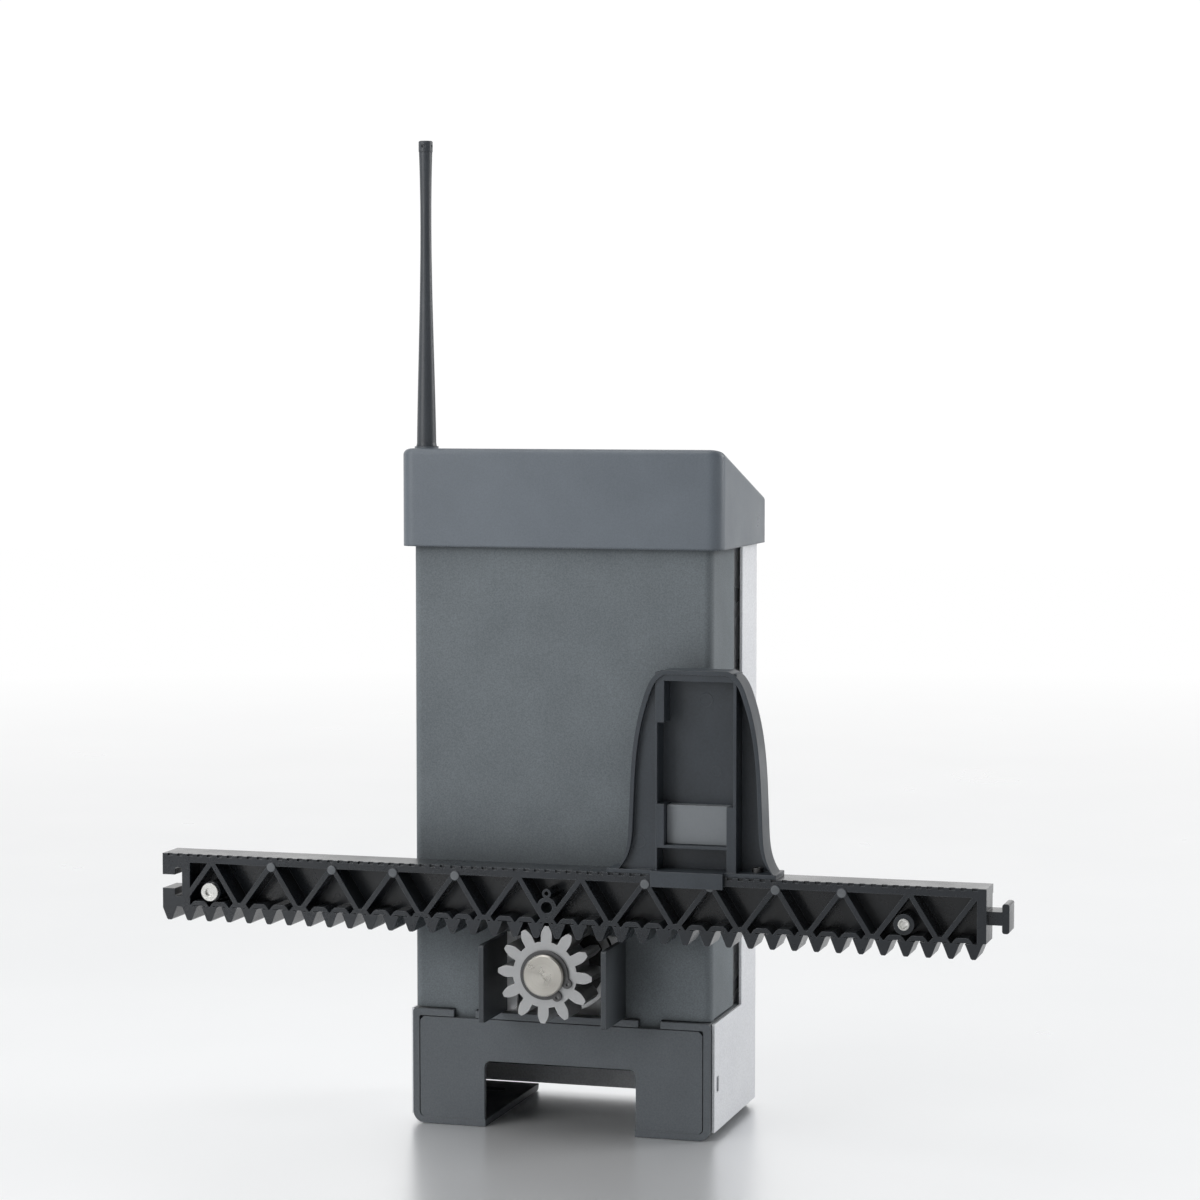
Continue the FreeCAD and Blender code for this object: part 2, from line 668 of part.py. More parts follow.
def make_antenna():
    foot = cap_front_top
    top = foot + antenna_height - antenna_tip_height
    waist = foot + 0.66 * (top - foot)
    curve = Part.BSplineCurve()
    curve.interpolate([Vector(antenna_foot_r, 0, foot + 2), Vector(antenna_foot_r * 0.86, 0, foot + 40),
                       Vector(antenna_waist_r, 0, waist), Vector(antenna_top_r, 0, top)])
    stud_low = roof_z(antenna_y) - 8 - antenna_nut_thick - 3
    corner = [Vector(0, 0, stud_low), Vector(antenna_stud_r, 0, stud_low), Vector(antenna_stud_r, 0, foot),
              Vector(antenna_foot_r + 0.4, 0, foot), Vector(antenna_foot_r, 0, foot + 2)]
    edges = [Part.makeLine(a, b) for a, b in zip(corner, corner[1:])]
    edges += [curve.toShape(), Part.makeLine(Vector(antenna_top_r, 0, top), Vector(0, 0, top)),
              Part.makeLine(Vector(0, 0, top), Vector(0, 0, stud_low))]
    rod = Part.Face(Part.Wire(edges)).revolve(Vector(0, 0, 0), Z_AXIS, 360)
    rod.translate(Vector(antenna_x, antenna_y, 0))
    keep("antenna_rod", rod)
    tip = cyl_z(antenna_tip_r, top, top + antenna_tip_height, antenna_x, antenna_y)
    tip = tip.makeFillet(0.8, [e for e in tip.Edges if e.CenterOfMass.z > top + antenna_tip_height - 0.01
                               and e.Curve.TypeId == "Part::GeomCircle"])
    slots = [box(antenna_x - w, antenna_x + w, antenna_y - d, antenna_y + d, top + 2.4, top + 4.0)
             for w, d in ((1.1, antenna_tip_r + 1), (antenna_tip_r + 1, 1.1))]
    ring = tube_z(antenna_tip_r + 1, antenna_tip_r - 0.7, top, top + antenna_tip_height, antenna_x, antenna_y)
    keep("antenna_tip", tip.cut(fuse(slots[0], slots[1]).common(ring)))
    nut_top = roof_z(antenna_y) - 8
    nut = prism_z(polygon(antenna_nut_r, 6, antenna_x, antenna_y), nut_top - antenna_nut_thick, nut_top)
    keep("antenna_nut", nut.cut(cyl_z(antenna_stud_r, nut_top - 10, nut_top + 1, antenna_x, antenna_y)))


# ================================================================ street cover and its lock
def make_cover():
    def shell(half, back, corner, z0, z1):
        solid = box(-half, half, cover_low_front, back, z0, z1)
        return round_edges(solid, corner, Z_AXIS, lambda p: p.y > 0)
    outer = shell(cover_half, cover_back, cover_corner, cover_bottom, cover_top)
    inner = shell(cover_inner_half, cover_inner_back, cover_corner - cover_wall, cover_bottom - 1, cover_top + 1)
    inner = fuse(inner, box(-cover_inner_half, cover_inner_half, cover_low_front - 1, 0, cover_bottom - 1,
                            cover_top + 1))
    cover = outer.cut(inner)
    above = box(-cover_half - 1, cover_half + 1, cover_low_front - 1, cover_high_front, cover_step, cover_top + 1)
    cover = cover.cut(above)
    slot_front = cover_low_front + latch_slot_edge
    slot = box(-cover_half - 1, cover_half + 1, slot_front, slot_front + latch_slot_depth,
               latch_slot_low, latch_slot_low + latch_slot_height)
    cover = cover.cut(slot)
    cover = cover.cut(cyl_y(lock_barrel_r + 2, cover_inner_back - 1, cover_back + 1, 0, lock_height))
    keep("street_cover", cover)

    bezel = tube_y(lock_barrel_r + 2 - 0.1, lock_barrel_r + SPINDLE_GAP, cam_plane + cam_thick + 0.5,
                   cover_back, 0, lock_height)
    rim = tube_y(lock_bezel_r, lock_barrel_r + SPINDLE_GAP, cover_back, cover_back + 2, 0, lock_height)
    nut = tube_y(lock_bezel_r, lock_barrel_r + 2 - 0.1, cover_inner_back - 3, cover_inner_back, 0, lock_height)
    keep("lock_bezel", bezel.fuse(rim), nut)
    barrel = cyl_y(lock_barrel_r, cam_plane + cam_thick, cover_back + 1.5, 0, lock_height)
    keyway = box(-0.8, 0.8, cover_back - 6, cover_back + 2, lock_height - 4, lock_height + 4)
    cam = fuse(cyl_y(lock_barrel_r, cam_plane, cam_plane + cam_thick, 0, lock_height),
               box(-cam_width / 2, cam_width / 2, cam_plane, cam_plane + cam_thick, lock_height - cam_length,
                   lock_height))
    keep("lock_barrel", barrel.cut(keyway).fuse(cam))


# ================================================================ rack
def tooth_points(tip_z, root_z):
    """One gap-to-gap stretch of the rack's tooth line, about a tooth at x = 0: (x, z) points."""
    slope = math.tan(math.radians(pressure_angle))
    at_tip = pitch / 4 - (rack_pitch_z - tip_z) * slope
    at_root = pitch / 4 + (root_z - rack_pitch_z) * slope
    bevel = 0.7
    return [(-at_root - 0.3, root_z), (-at_root + 0.35, root_z - 1.1), (-at_tip, tip_z + bevel),
            (-at_tip + bevel, tip_z), (at_tip - bevel, tip_z), (at_tip, tip_z + bevel),
            (at_root - 0.35, root_z - 1.1), (at_root + 0.3, root_z)]


def tooth_line():
    """The whole toothed edge, left to right. The gap at rack_shift holds the pinion's tooth."""
    line = []
    for i in range(rack_teeth):
        centre = first_tooth + i * pitch
        line += [(centre + x, z) for x, z in tooth_points(rack_tip_z, rack_root_z)]
    return line


def shrink_triangle(corners, inset):
    """Move each side of a triangle inwards."""
    out = []
    for i in range(3):
        p, a, b = (Vector(c[0], 0, c[1]) for c in (corners[i], corners[i - 1], corners[(i + 1) % 3]))
        u, v = (a - p).normalize(), (b - p).normalize()
        half_angle = math.acos(max(-1, min(1, u.dot(v)))) / 2
        q = p + (u + v).normalize() * (inset / math.sin(half_angle))
        out.append((q.x, q.z))
    return out


def lattice_windows(y0, y1):
    """The pockets between the zigzag ribs, as prisms from y0 to y1."""
    low = rack_root_z
    high = rack_top_z - rack_flange
    period = 3 * pitch
    left, right = rack_left + rack_end_wall, rack_right - rack_end_wall
    first = math.floor((rack_left - rack_shift) / period) - 1
    field = box(left, right, y0, y1, low - 0.5, high)
    pockets = []
    for k in range(first, -first + 1):
        x = rack_shift + k * period
        before, after = x - period / 2 + rack_lean, x + period / 2 + rack_lean
        up = shrink_triangle([(x, low), (x + period, low), (after, high)], rack_rib / 2)
        down = shrink_triangle([(before, high), (x, low), (after, high)], rack_rib / 2)
        up = [(px, low - 1 if pz < (low + high) / 2 else pz) for px, pz in up]
        down = [(px, high + 1 if pz > (low + high) / 2 else pz) for px, pz in down]
        for corners in (up, down):
            if max(p[0] for p in corners) > left and min(p[0] for p in corners) < right:
                pockets.append(prism_y(corners, y0, y1).common(field))
    return pockets


def arches(y0, y1):
    """The raised rim over each tooth gap."""
    half = pitch / 2 - 2.2
    shapes = []
    for i in range(1, rack_teeth):
        x = first_tooth + (i - 0.5) * pitch
        rim = prism_y([(x - half - rack_rim, rack_root_z - 1.5), (x + half + rack_rim, rack_root_z - 1.5),
                       (x + half + 0.4, rack_root_z + rack_rim - 1.1), (x + half - 1.0, rack_root_z + rack_rim),
                       (x - half + 1.0, rack_root_z + rack_rim), (x - half - 0.4, rack_root_z + rack_rim - 1.1)],
                      y0, y1)
        shapes.append(rim.cut(box(x - half + 0.2, x + half - 0.2, y0 - 1, y1 + 1, rack_root_z - 3,
                                  rack_root_z)))
    return shapes


def boss_places():
    return [rack_shift + k * boss_pitches * pitch for k in (-1, 0, 1)]


def hook_shape(x0, grow, y0, y1):
    """T-shaped end hook, or with grow above zero, the pocket that takes it."""
    z = rack_tip_z + hook_height
    neck = box(x0 - 1, x0 + hook_neck_length + grow, y0, y1, z - hook_neck_height / 2 - grow,
               z + hook_neck_height / 2 + grow)
    bar_x = x0 + hook_neck_length - grow
    bar = box(bar_x, bar_x + hook_bar_width + 2 * grow, y0, y1, z - hook_bar_height / 2 - grow,
              z + hook_bar_height / 2 + grow)
    bar = round_edges(bar, 1.4, Y_AXIS)
    return neck.fuse(bar)


def make_rack():
    line = tooth_line()
    top = rack_top_z
    start = first_tooth - pitch / 2
    body = prism_y([(start, rack_root_z)] + line + [(rack_right, rack_root_z), (rack_right, top), (start, top)],
                   rack_front, rack_back)
    body = body.common(box(rack_left, rack_right, rack_front, rack_back, rack_tip_z, top))
    web_front = rack_back - rack_web
    pockets = Part.makeCompound(lattice_windows(rack_front - 1, web_front))
    body = body.cut(pockets)
    flange = box(rack_left, rack_right, rack_back - 1, rack_back + rack_flange_extra, top - rack_flange, top)
    high = top - rack_flange
    studs = [cyl_y(rack_stud_r, rack_front - rack_stud_proud, web_front + 1,
                   rack_shift + (k + 0.5) * 3 * pitch + rack_lean, high - 0.6) for k in stud_corners]
    bosses = [cyl_y(boss_r, rack_front, web_front + 1, x, boss_z) for x in boss_places()]
    ring_z = boss_z + boss_r + ring_r - 0.4
    ring = cyl_y(ring_r, rack_front, web_front + 1, rack_shift, ring_z)
    end_block = box(rack_left, rack_left + hook_neck_length + hook_bar_width + rack_end_wall,
                    rack_front, rack_back, rack_root_z - 1, top)
    body = fuse(body, flange, end_block, ring, *(arches(rack_front, web_front + 1) + studs + bosses))
    hook = hook_shape(rack_right, 0, rack_back - hook_depth, rack_back)
    body = body.fuse(hook)
    body = body.cut(hook_shape(rack_left, SLIDE_GAP, rack_front - 1, rack_back + 1))
    holes = [cyl_y(boss_hole_r, rack_front - 1, rack_back + 1, x, boss_z) for x in boss_places()]
    holes.append(cyl_y(ring_r / 2, rack_front - 1, rack_front + 6, rack_shift, ring_z))
    step = pitch / 2
    count = int(rack_length / step)
    notches = [box(rack_left + (i + 0.5) * step, rack_left + (i + 1) * step, rack_front - 1,
                   rack_front + crenel_depth, top - crenel_height, top + 1) for i in range(count)]
    body = body.cut(Part.makeCompound(holes + notches))
    keep("rack", body)
    x = boss_places()[0]
    fixing = screw(boss_hole_r + 1.9, 2.4, boss_hole_r - 0.3, rack_thick + 6,
                   Vector(x, rack_front, boss_z), Y_AXIS)
    bush = tube_y(boss_hole_r - 0.05, boss_hole_r - 1.0, rack_front - 0.4, rack_back, boss_places()[2], boss_z)
    keep("rack_fixings", fixing, bush)


# ================================================================ magnet bracket
def bell_face(inset, y):
    """Outline of the bracket, from its foot to its rounded top, as a face at depth y."""
    foot = rack_top_z + (bracket_flange if inset else 0)
    top = rack_top_z + bracket_height - inset
    half = [(bracket_half * x - inset, foot + (top - foot) * z) for x, z in bracket_outline]
    crown = bracket_half * bracket_crown - inset / 2
    side, shoulder = Part.BSplineCurve(), Part.BSplineCurve()
    side.interpolate([Vector(bracket_x + x, y, z) for x, z in half])
    last_x, last_z = half[-1]
    reach, fall = last_x - crown, top - last_z
    shoulder.interpolate([Vector(bracket_x + crown + reach * share, y, top - fall * drop)
                          for share, drop in bracket_shoulder])
    right = [side.toShape(), shoulder.toShape()]
    flipped = [e.mirror(Vector(bracket_x, 0, 0), X_AXIS) for e in right]
    ends = [(crown, top), (half[0][0], half[0][1])]
    across = [Part.makeLine(Vector(bracket_x - x, y, z), Vector(bracket_x + x, y, z)) for x, z in ends]
    return Part.Face(Part.Wire(Part.__sortEdges__(right + flipped + across)))


def make_bracket():
    front = rack_front + 1
    back = front + bracket_depth
    low = rack_top_z
    floor = back - bracket_wall
    shell = bell_face(0, front).extrude(Vector(0, bracket_depth, 0))
    left, right = bracket_x - magnet_box_width / 2, bracket_x + magnet_box_width / 2
    wing_front = front + left_wing_depth
    wing_back = wing_front + bracket_wall
    wing = box(bracket_x - bracket_half, left, wing_front, wing_back, low, low + bracket_height)
    behind_wing = box(bracket_x - bracket_half, left, wing_back, back + 1, low, low + bracket_height)
    behind_wing = behind_wing.common(bell_face(bracket_wall, wing_back).extrude(Vector(0, back + 1 - wing_back, 0)))
    pocket = bell_face(bracket_wall, front - 1).extrude(Vector(0, floor - front + 1, 0))
    shell = shell.cut(pocket.cut(wing)).cut(behind_wing)
    channel_left, channel_right = left + magnet_rail, right - magnet_side
    magnet_top = low + magnet_lift + magnet_height + magnet_gap
    block = box(left, right, front + 1, floor + 0.5, low + 1, low + bracket_height - bracket_wall / 2)
    channel = fuse(box(channel_left, channel_right, front, floor, magnet_top, low + channel_high),
                   box(channel_left - channel_notch, channel_right, front, floor, low + notch_low, low + notch_high),
                   box(channel_left, channel_left + magnet_width + 2 * magnet_gap, front, floor,
                       low + magnet_lift - magnet_gap, magnet_top + 1),
                   box(left + bracket_wall / 2, channel_left + magnet_width + 2 * magnet_gap, front,
                       floor, low + bracket_flange, low + magnet_lift - magnet_gap - magnet_ledge))
    flange = box(bracket_x - bracket_foot_left, bracket_x + bracket_foot_right, front,
                 rack_back + rack_flange_extra, low, low + bracket_flange)
    clip_back = rack_front - rack_stud_proud - SEAT_GAP
    clip_ends = (bracket_x - clip_left, bracket_x + clip_right)
    clip = fuse(box(*clip_ends, clip_back - bracket_wall, clip_back, low - clip_height, low + bracket_flange),
                box(*clip_ends, clip_back - bracket_wall, front + 1, low, low + bracket_flange))
    bracket = fuse(shell, block.cut(channel), flange, clip)
    magnet_x = channel_left + magnet_gap
    magnet = rounded_box(magnet_x, magnet_x + magnet_width, floor - magnet_thick, floor,
                         low + magnet_lift, low + magnet_lift + magnet_height, 0.8, Y_AXIS)
    keep("magnet", magnet)
    screw_y = (front + rack_back) / 2
    screw_spots = [bracket_x + side * bracket_screw_reach for side in (-1, 1)]
    holes = Part.makeCompound([cyl_z(bracket_screw_r, low - 10, low + bracket_flange + 1, x, screw_y)
                               for x in screw_spots])
    keep("magnet_bracket", bracket.cut(holes))
    PIECES["rack"] = PIECES["rack"].cut(holes)
    keep("bracket_screws", *[screw(bracket_screw_r * 1.8, 2.6, bracket_screw_r, 8,
                                   Vector(x, screw_y, low + bracket_flange), Vector(0, 0, -1))
                             for x in screw_spots])


# ================================================================ pinion and output shaft
def involute_point(base_r, t):
    return (base_r * (math.cos(t) + t * math.sin(t)), base_r * (math.sin(t) - t * math.cos(t)))


def gear_wire(mod, teeth, y, turn, thin=0.0):
    """Involute gear outline in the XZ plane, a tooth centred on +Z at turn = 0 degrees."""
    pitch_r = mod * teeth / 2
    base_r = pitch_r * math.cos(math.radians(pressure_angle))
    tip_r, root_r = pitch_r + mod, pitch_r - 1.25 * mod
    inv = math.tan(math.radians(pressure_angle)) - math.radians(pressure_angle)
    half = math.pi / (2 * teeth) - thin / pitch_r
    start_r = max(base_r, root_r + 0.15 * mod)
    t0 = math.sqrt(max((start_r / base_r) ** 2 - 1, 0))
    t1 = math.sqrt((tip_r / base_r) ** 2 - 1)
    flank = []
    for i in range(5):
        t = t0 + (t1 - t0) * i / 4
        px, pz = involute_point(base_r, t)
        flank.append((math.hypot(px, pz), half + inv - math.atan2(pz, px)))

    def at(r, angle):
        a = math.pi / 2 + math.radians(turn) + angle
        return Vector(r * math.cos(a), y, r * math.sin(a))

    edges = []
    step = 2 * math.pi / teeth
    for k in range(teeth):
        mid = k * step
        rise = [at(r, mid - a) for r, a in flank]
        fall = [at(r, mid + a) for r, a in reversed(flank)]
        foot_a = flank[0][1]
        curve_up, curve_down = Part.BSplineCurve(), Part.BSplineCurve()
        curve_up.interpolate(rise)
        curve_down.interpolate(fall)
        root_in, root_out = at(root_r, mid - foot_a - 0.02), at(root_r, mid + foot_a + 0.02)
        next_in = at(root_r, mid + step - foot_a - 0.02)
        edges += [Part.makeLine(root_in, rise[0]), curve_up.toShape(),
                  Part.Arc(rise[-1], at(tip_r, mid), fall[0]).toShape(), curve_down.toShape(),
                  Part.makeLine(fall[-1], root_out),
                  Part.Arc(root_out, at(root_r, mid + step / 2), next_in).toShape()]
    return Part.Wire(edges)


def make_output():
    face = Part.Face(gear_wire(module, pinion_teeth, rack_front, pinion_turn))
    pinion = face.extrude(Vector(0, pinion_width, 0))
    pinion.translate(Vector(shaft_x, 0, pinion_height))
    bore = cyl_y(shaft_end_r, rack_front - 1, pinion_back + 1, shaft_x, pinion_height)
    key_front = rack_front + 4
    key_top = shaft_end_r + 3.3
    key_left, key_right = shaft_x - key_width / 2, shaft_x + key_width / 2
    slot = box(key_left, key_right, key_front, pinion_back + 1, pinion_height, pinion_height + key_top + 0.2)
    keep("pinion", pinion.cut(bore).cut(slot))

    shaft_front = rack_front - shaft_proud
    rear_end = rear_bearing_front + bearing_width
    shaft = fuse(cyl_y(shaft_end_r, shaft_front, pinion_back + 1, shaft_x, pinion_height),
                 cyl_y(shaft_seat_r, pinion_back, rear_end, shaft_x, pinion_height))
    ends = [e for e in shaft.Edges if e.Curve.TypeId == "Part::GeomCircle"
            and abs(e.CenterOfMass.y - shaft_front) < 0.01]
    shaft = shaft.makeChamfer(0.8, ends)
    pocket = box(key_left, key_right, key_front, key_front + key_length,
                 pinion_height + key_top - key_height, pinion_height + 30)
    groove_r = shaft_end_r - circlip_depth
    groove = tube_y(shaft_end_r + 1, groove_r, rack_front - circlip_thick, rack_front, shaft_x, pinion_height)
    keep("output_shaft", shaft.cut(pocket).cut(groove))
    keep("shaft_key", box(key_left, key_right, key_front, key_front + key_length,
                          pinion_height + key_top - key_height, pinion_height + key_top))

    clip = tube_y(circlip_r, groove_r, rack_front - circlip_thick, rack_front, 0, 0)
    turns = [math.radians(circlip_turn + a) for a in (-circlip_ear_spread, circlip_ear_spread)]
    spots = [(circlip_r * math.cos(a), circlip_r * math.sin(a)) for a in turns]
    shaft_room = cyl_y(groove_r, rack_front - 5, rack_front + 5, 0, 0)
    ears = [cyl_y(circlip_ear_r, rack_front - circlip_thick, rack_front, x, z).cut(shaft_room) for x, z in spots]
    eyes = [cyl_y(circlip_eye_r, rack_front - circlip_thick - 1, rack_front + 1, x + x * 0.04, z + z * 0.04)
            for x, z in spots]
    gap = box(8, 24, rack_front - circlip_thick - 1, rack_front + 1, -2, 2)
    gap.rotate(Vector(0, 0, 0), Y_AXIS, -circlip_turn)
    clip = fuse(clip, *ears).cut(fuse(gap, *eyes))
    clip.translate(Vector(shaft_x, 0, pinion_height))
    keep("circlip", clip)

    twist = math.degrees(wheel_width / 2 * worm_pitch / (2 * math.pi * worm_pitch_r) / wheel_r)
    gap_turn = 90 + 180 / wheel_teeth
    wires = []
    for y, turn in ((wheel_front, twist), (wheel_back, -twist)):
        wires.append(gear_wire(worm_module, wheel_teeth, y, gap_turn + turn, thin=0.45))
    wheel = Part.makeLoft(wires, True, True)
    wheel.translate(Vector(shaft_x, 0, pinion_height))
    hub = tube_y(22, shaft_seat_r, wheel_front - 2.5, wheel_back + 4, shaft_x, pinion_height)
    dish = tube_y(wheel_r - 7, 20, wheel_front - 1, wheel_front + 4, shaft_x, pinion_height)
    dish2 = tube_y(wheel_r - 7, 20, wheel_back - 4, wheel_back + 1, shaft_x, pinion_height)
    wheel = wheel.cut(cyl_y(shaft_seat_r, wheel_front - 5, wheel_back + 5, shaft_x, pinion_height))
    keep("worm_wheel", wheel.cut(dish).cut(dish2).fuse(hub))


# ================================================================ gearbox
def ball_bearing(bore_r, outer_r, width, axis):
    """A shielded bearing about the axis through the origin, from 0 to width."""
    at, way = Vector(0, 0, 0), axis
    ring = Part.makeCylinder(outer_r, width, at, way).cut(Part.makeCylinder(bore_r, width, at, way))
    mid = (bore_r + outer_r) / 2
    band = (outer_r - bore_r) * 0.22
    for start in (-0.1, width - 0.6):
        place = at + way * start
        groove = Part.makeCylinder(mid + band, 0.7, place, way).cut(
            Part.makeCylinder(mid - band, 0.7, place, way))
        ring = ring.cut(groove)
    return ring


def moved(shape, x, y, z):
    shape.translate(Vector(x, y, z))
    return shape


def make_gearbox():
    z = pinion_height
    case = fuse(box(case_left, case_right, case_front, case_back, case_bottom, case_top),
                cyl_y(boss_outer_r, boss_front, case_front + 1, shaft_x, z))
    case = round_edges(case, 5, Y_AXIS)
    feet = [box(x0, x1, case_front + 2, housing_back - 8, base_height, base_height + foot_thick)
            for x0, x1 in ((case_left - foot_reach, case_left + 1), (case_right - 1, case_right + foot_reach))]
    foot_holes = [cyl_z(screw_r, base_height - 1, base_height + foot_thick + 1, x, y)
                  for x, y in foot_screw_places()]
    case = fuse(case, *feet).cut(Part.makeCompound(foot_holes))
    wheel_room = cyl_y(cavity_r, case_front + case_wall, case_back + 1, shaft_x, z)
    worm_room_r = worm_pitch_r + worm_module + 1.2
    worm_room = cyl_z(worm_room_r, low_bearing_top, high_bearing_bottom + 0.1, worm_x, wheel_y)
    seats = fuse(cyl_y(bearing_r, bearing_front, bearing_front + bearing_width, shaft_x, z),
                 cyl_y(bearing_r, boss_front - 1, bearing_front, shaft_x, z),
                 cyl_y(bearing_r - 5, bearing_front, case_front + case_wall + 1, shaft_x, z),
                 cyl_z(worm_bearing_r, low_bearing_top - worm_bearing_width, low_bearing_top, worm_x, wheel_y),
                 cyl_z(worm_bearing_r, high_bearing_bottom, case_top + 1, worm_x, wheel_y))
    lever_z = z + lever_rise
    lever_pocket = cyl_y(spindle_r + 2.2, case_back - 9, case_back + 1, lever_x, lever_z)
    case = case.cut(fuse(wheel_room, worm_room, seats)).cut(lever_pocket)
    screws_at = [(case_left + 6, case_bottom + 6), (case_right - 6, case_bottom + 6),
                 (case_left + 5, z + worm_half), (shaft_x - cavity_r * 0.43, case_top - 5)]
    tapped = [cyl_y(lid_screw_r, case_back - lid_screw_length, lid_back + 1, x, zz) for x, zz in screws_at]
    case = case.cut(Part.makeCompound(tapped))
    keep("gearbox_case", case)

    lid = box(case_left, case_right, case_back, lid_back, case_bottom, case_top)
    lid = round_edges(lid, 5, Y_AXIS)
    lid = fuse(lid, cyl_y(boss_outer_r, lid_back - 1, lid_boss_back, shaft_x, z),
               cyl_y(spindle_r + 4, lid_back - 1, lid_back + 8, lever_x, lever_z))
    lid = lid.cut(fuse(cyl_y(bearing_r, rear_bearing_front, rear_bearing_front + bearing_width, shaft_x, z),
                       cyl_y(bearing_r - 5, case_back - 1, rear_bearing_front + 1, shaft_x, z),
                       cyl_y(spindle_r + SPINDLE_GAP, case_back - 1, lid_back + 9, lever_x, lever_z)))
    keep("gearbox_lid", lid.cut(Part.makeCompound(tapped)))
    lid_screws = [screw(lid_screw_head_r, 3.5, lid_screw_r, lid_screw_length + case_wall - 1,
                        Vector(x, lid_back, zz), Vector(0, -1, 0)) for x, zz in screws_at]
    foot_screws = [screw(lid_screw_head_r, 3.5, screw_r, foot_thick + base_wall + 1,
                         Vector(x, y, base_height + foot_thick), Vector(0, 0, -1)) for x, y in foot_screw_places()]
    keep("gearbox_screws", *(lid_screws + foot_screws))

    keep("output_bearings", *[moved(ball_bearing(shaft_seat_r + SHAFT_GAP, bearing_r, bearing_width, Y_AXIS),
                                    shaft_x, y, z) for y in (bearing_front, rear_bearing_front)])
    seal = tube_y(bearing_r, shaft_seat_r + 3, boss_front, bearing_front, shaft_x, z)
    lip = tube_y(bearing_r - 2, shaft_seat_r + SPINDLE_GAP, boss_front + 1.2, boss_front + 2.6, shaft_x, z)
    keep("output_seal", seal.fuse(lip))
    keep("worm_bearings",
         moved(ball_bearing(worm_shaft_r + SHAFT_GAP, worm_bearing_r, worm_bearing_width, Z_AXIS),
               worm_x, wheel_y, low_bearing_top - worm_bearing_width),
         moved(ball_bearing(worm_shaft_r + SHAFT_GAP, worm_bearing_r, worm_bearing_width, Z_AXIS),
               worm_x, wheel_y, high_bearing_bottom))


# ================================================================ worm and motor
def make_worm():
    z0 = pinion_height - worm_half
    root_r = worm_pitch_r - 1.25 * worm_module + 0.3
    tip_r = worm_pitch_r + worm_module - 0.2
    slope = math.tan(math.radians(pressure_angle))
    mid_half = worm_pitch * 0.21
    tip_half = mid_half - (tip_r - worm_pitch_r) * slope
    sunk_r = root_r - 0.4
    root_half = mid_half + (worm_pitch_r - sunk_r) * slope
    helix = Part.makeHelix(worm_pitch, worm_pitch * worm_turns, sunk_r)
    profile = Part.makePolygon([Vector(sunk_r, 0, -root_half), Vector(tip_r, 0, -tip_half),
                                Vector(tip_r, 0, tip_half), Vector(sunk_r, 0, root_half),
                                Vector(sunk_r, 0, -root_half)])
    thread = Part.Wire(helix).makePipeShell([profile], True, True)
    thread.translate(Vector(worm_x, wheel_y, z0))
    core = cyl_z(root_r, low_bearing_top + 1, high_bearing_bottom - 1, worm_x, wheel_y)
    spindle = cyl_z(worm_shaft_r, low_bearing_top - worm_bearing_width, bell_top - 2, worm_x, wheel_y)
    keep("worm_shaft", fuse(core, thread, spindle))


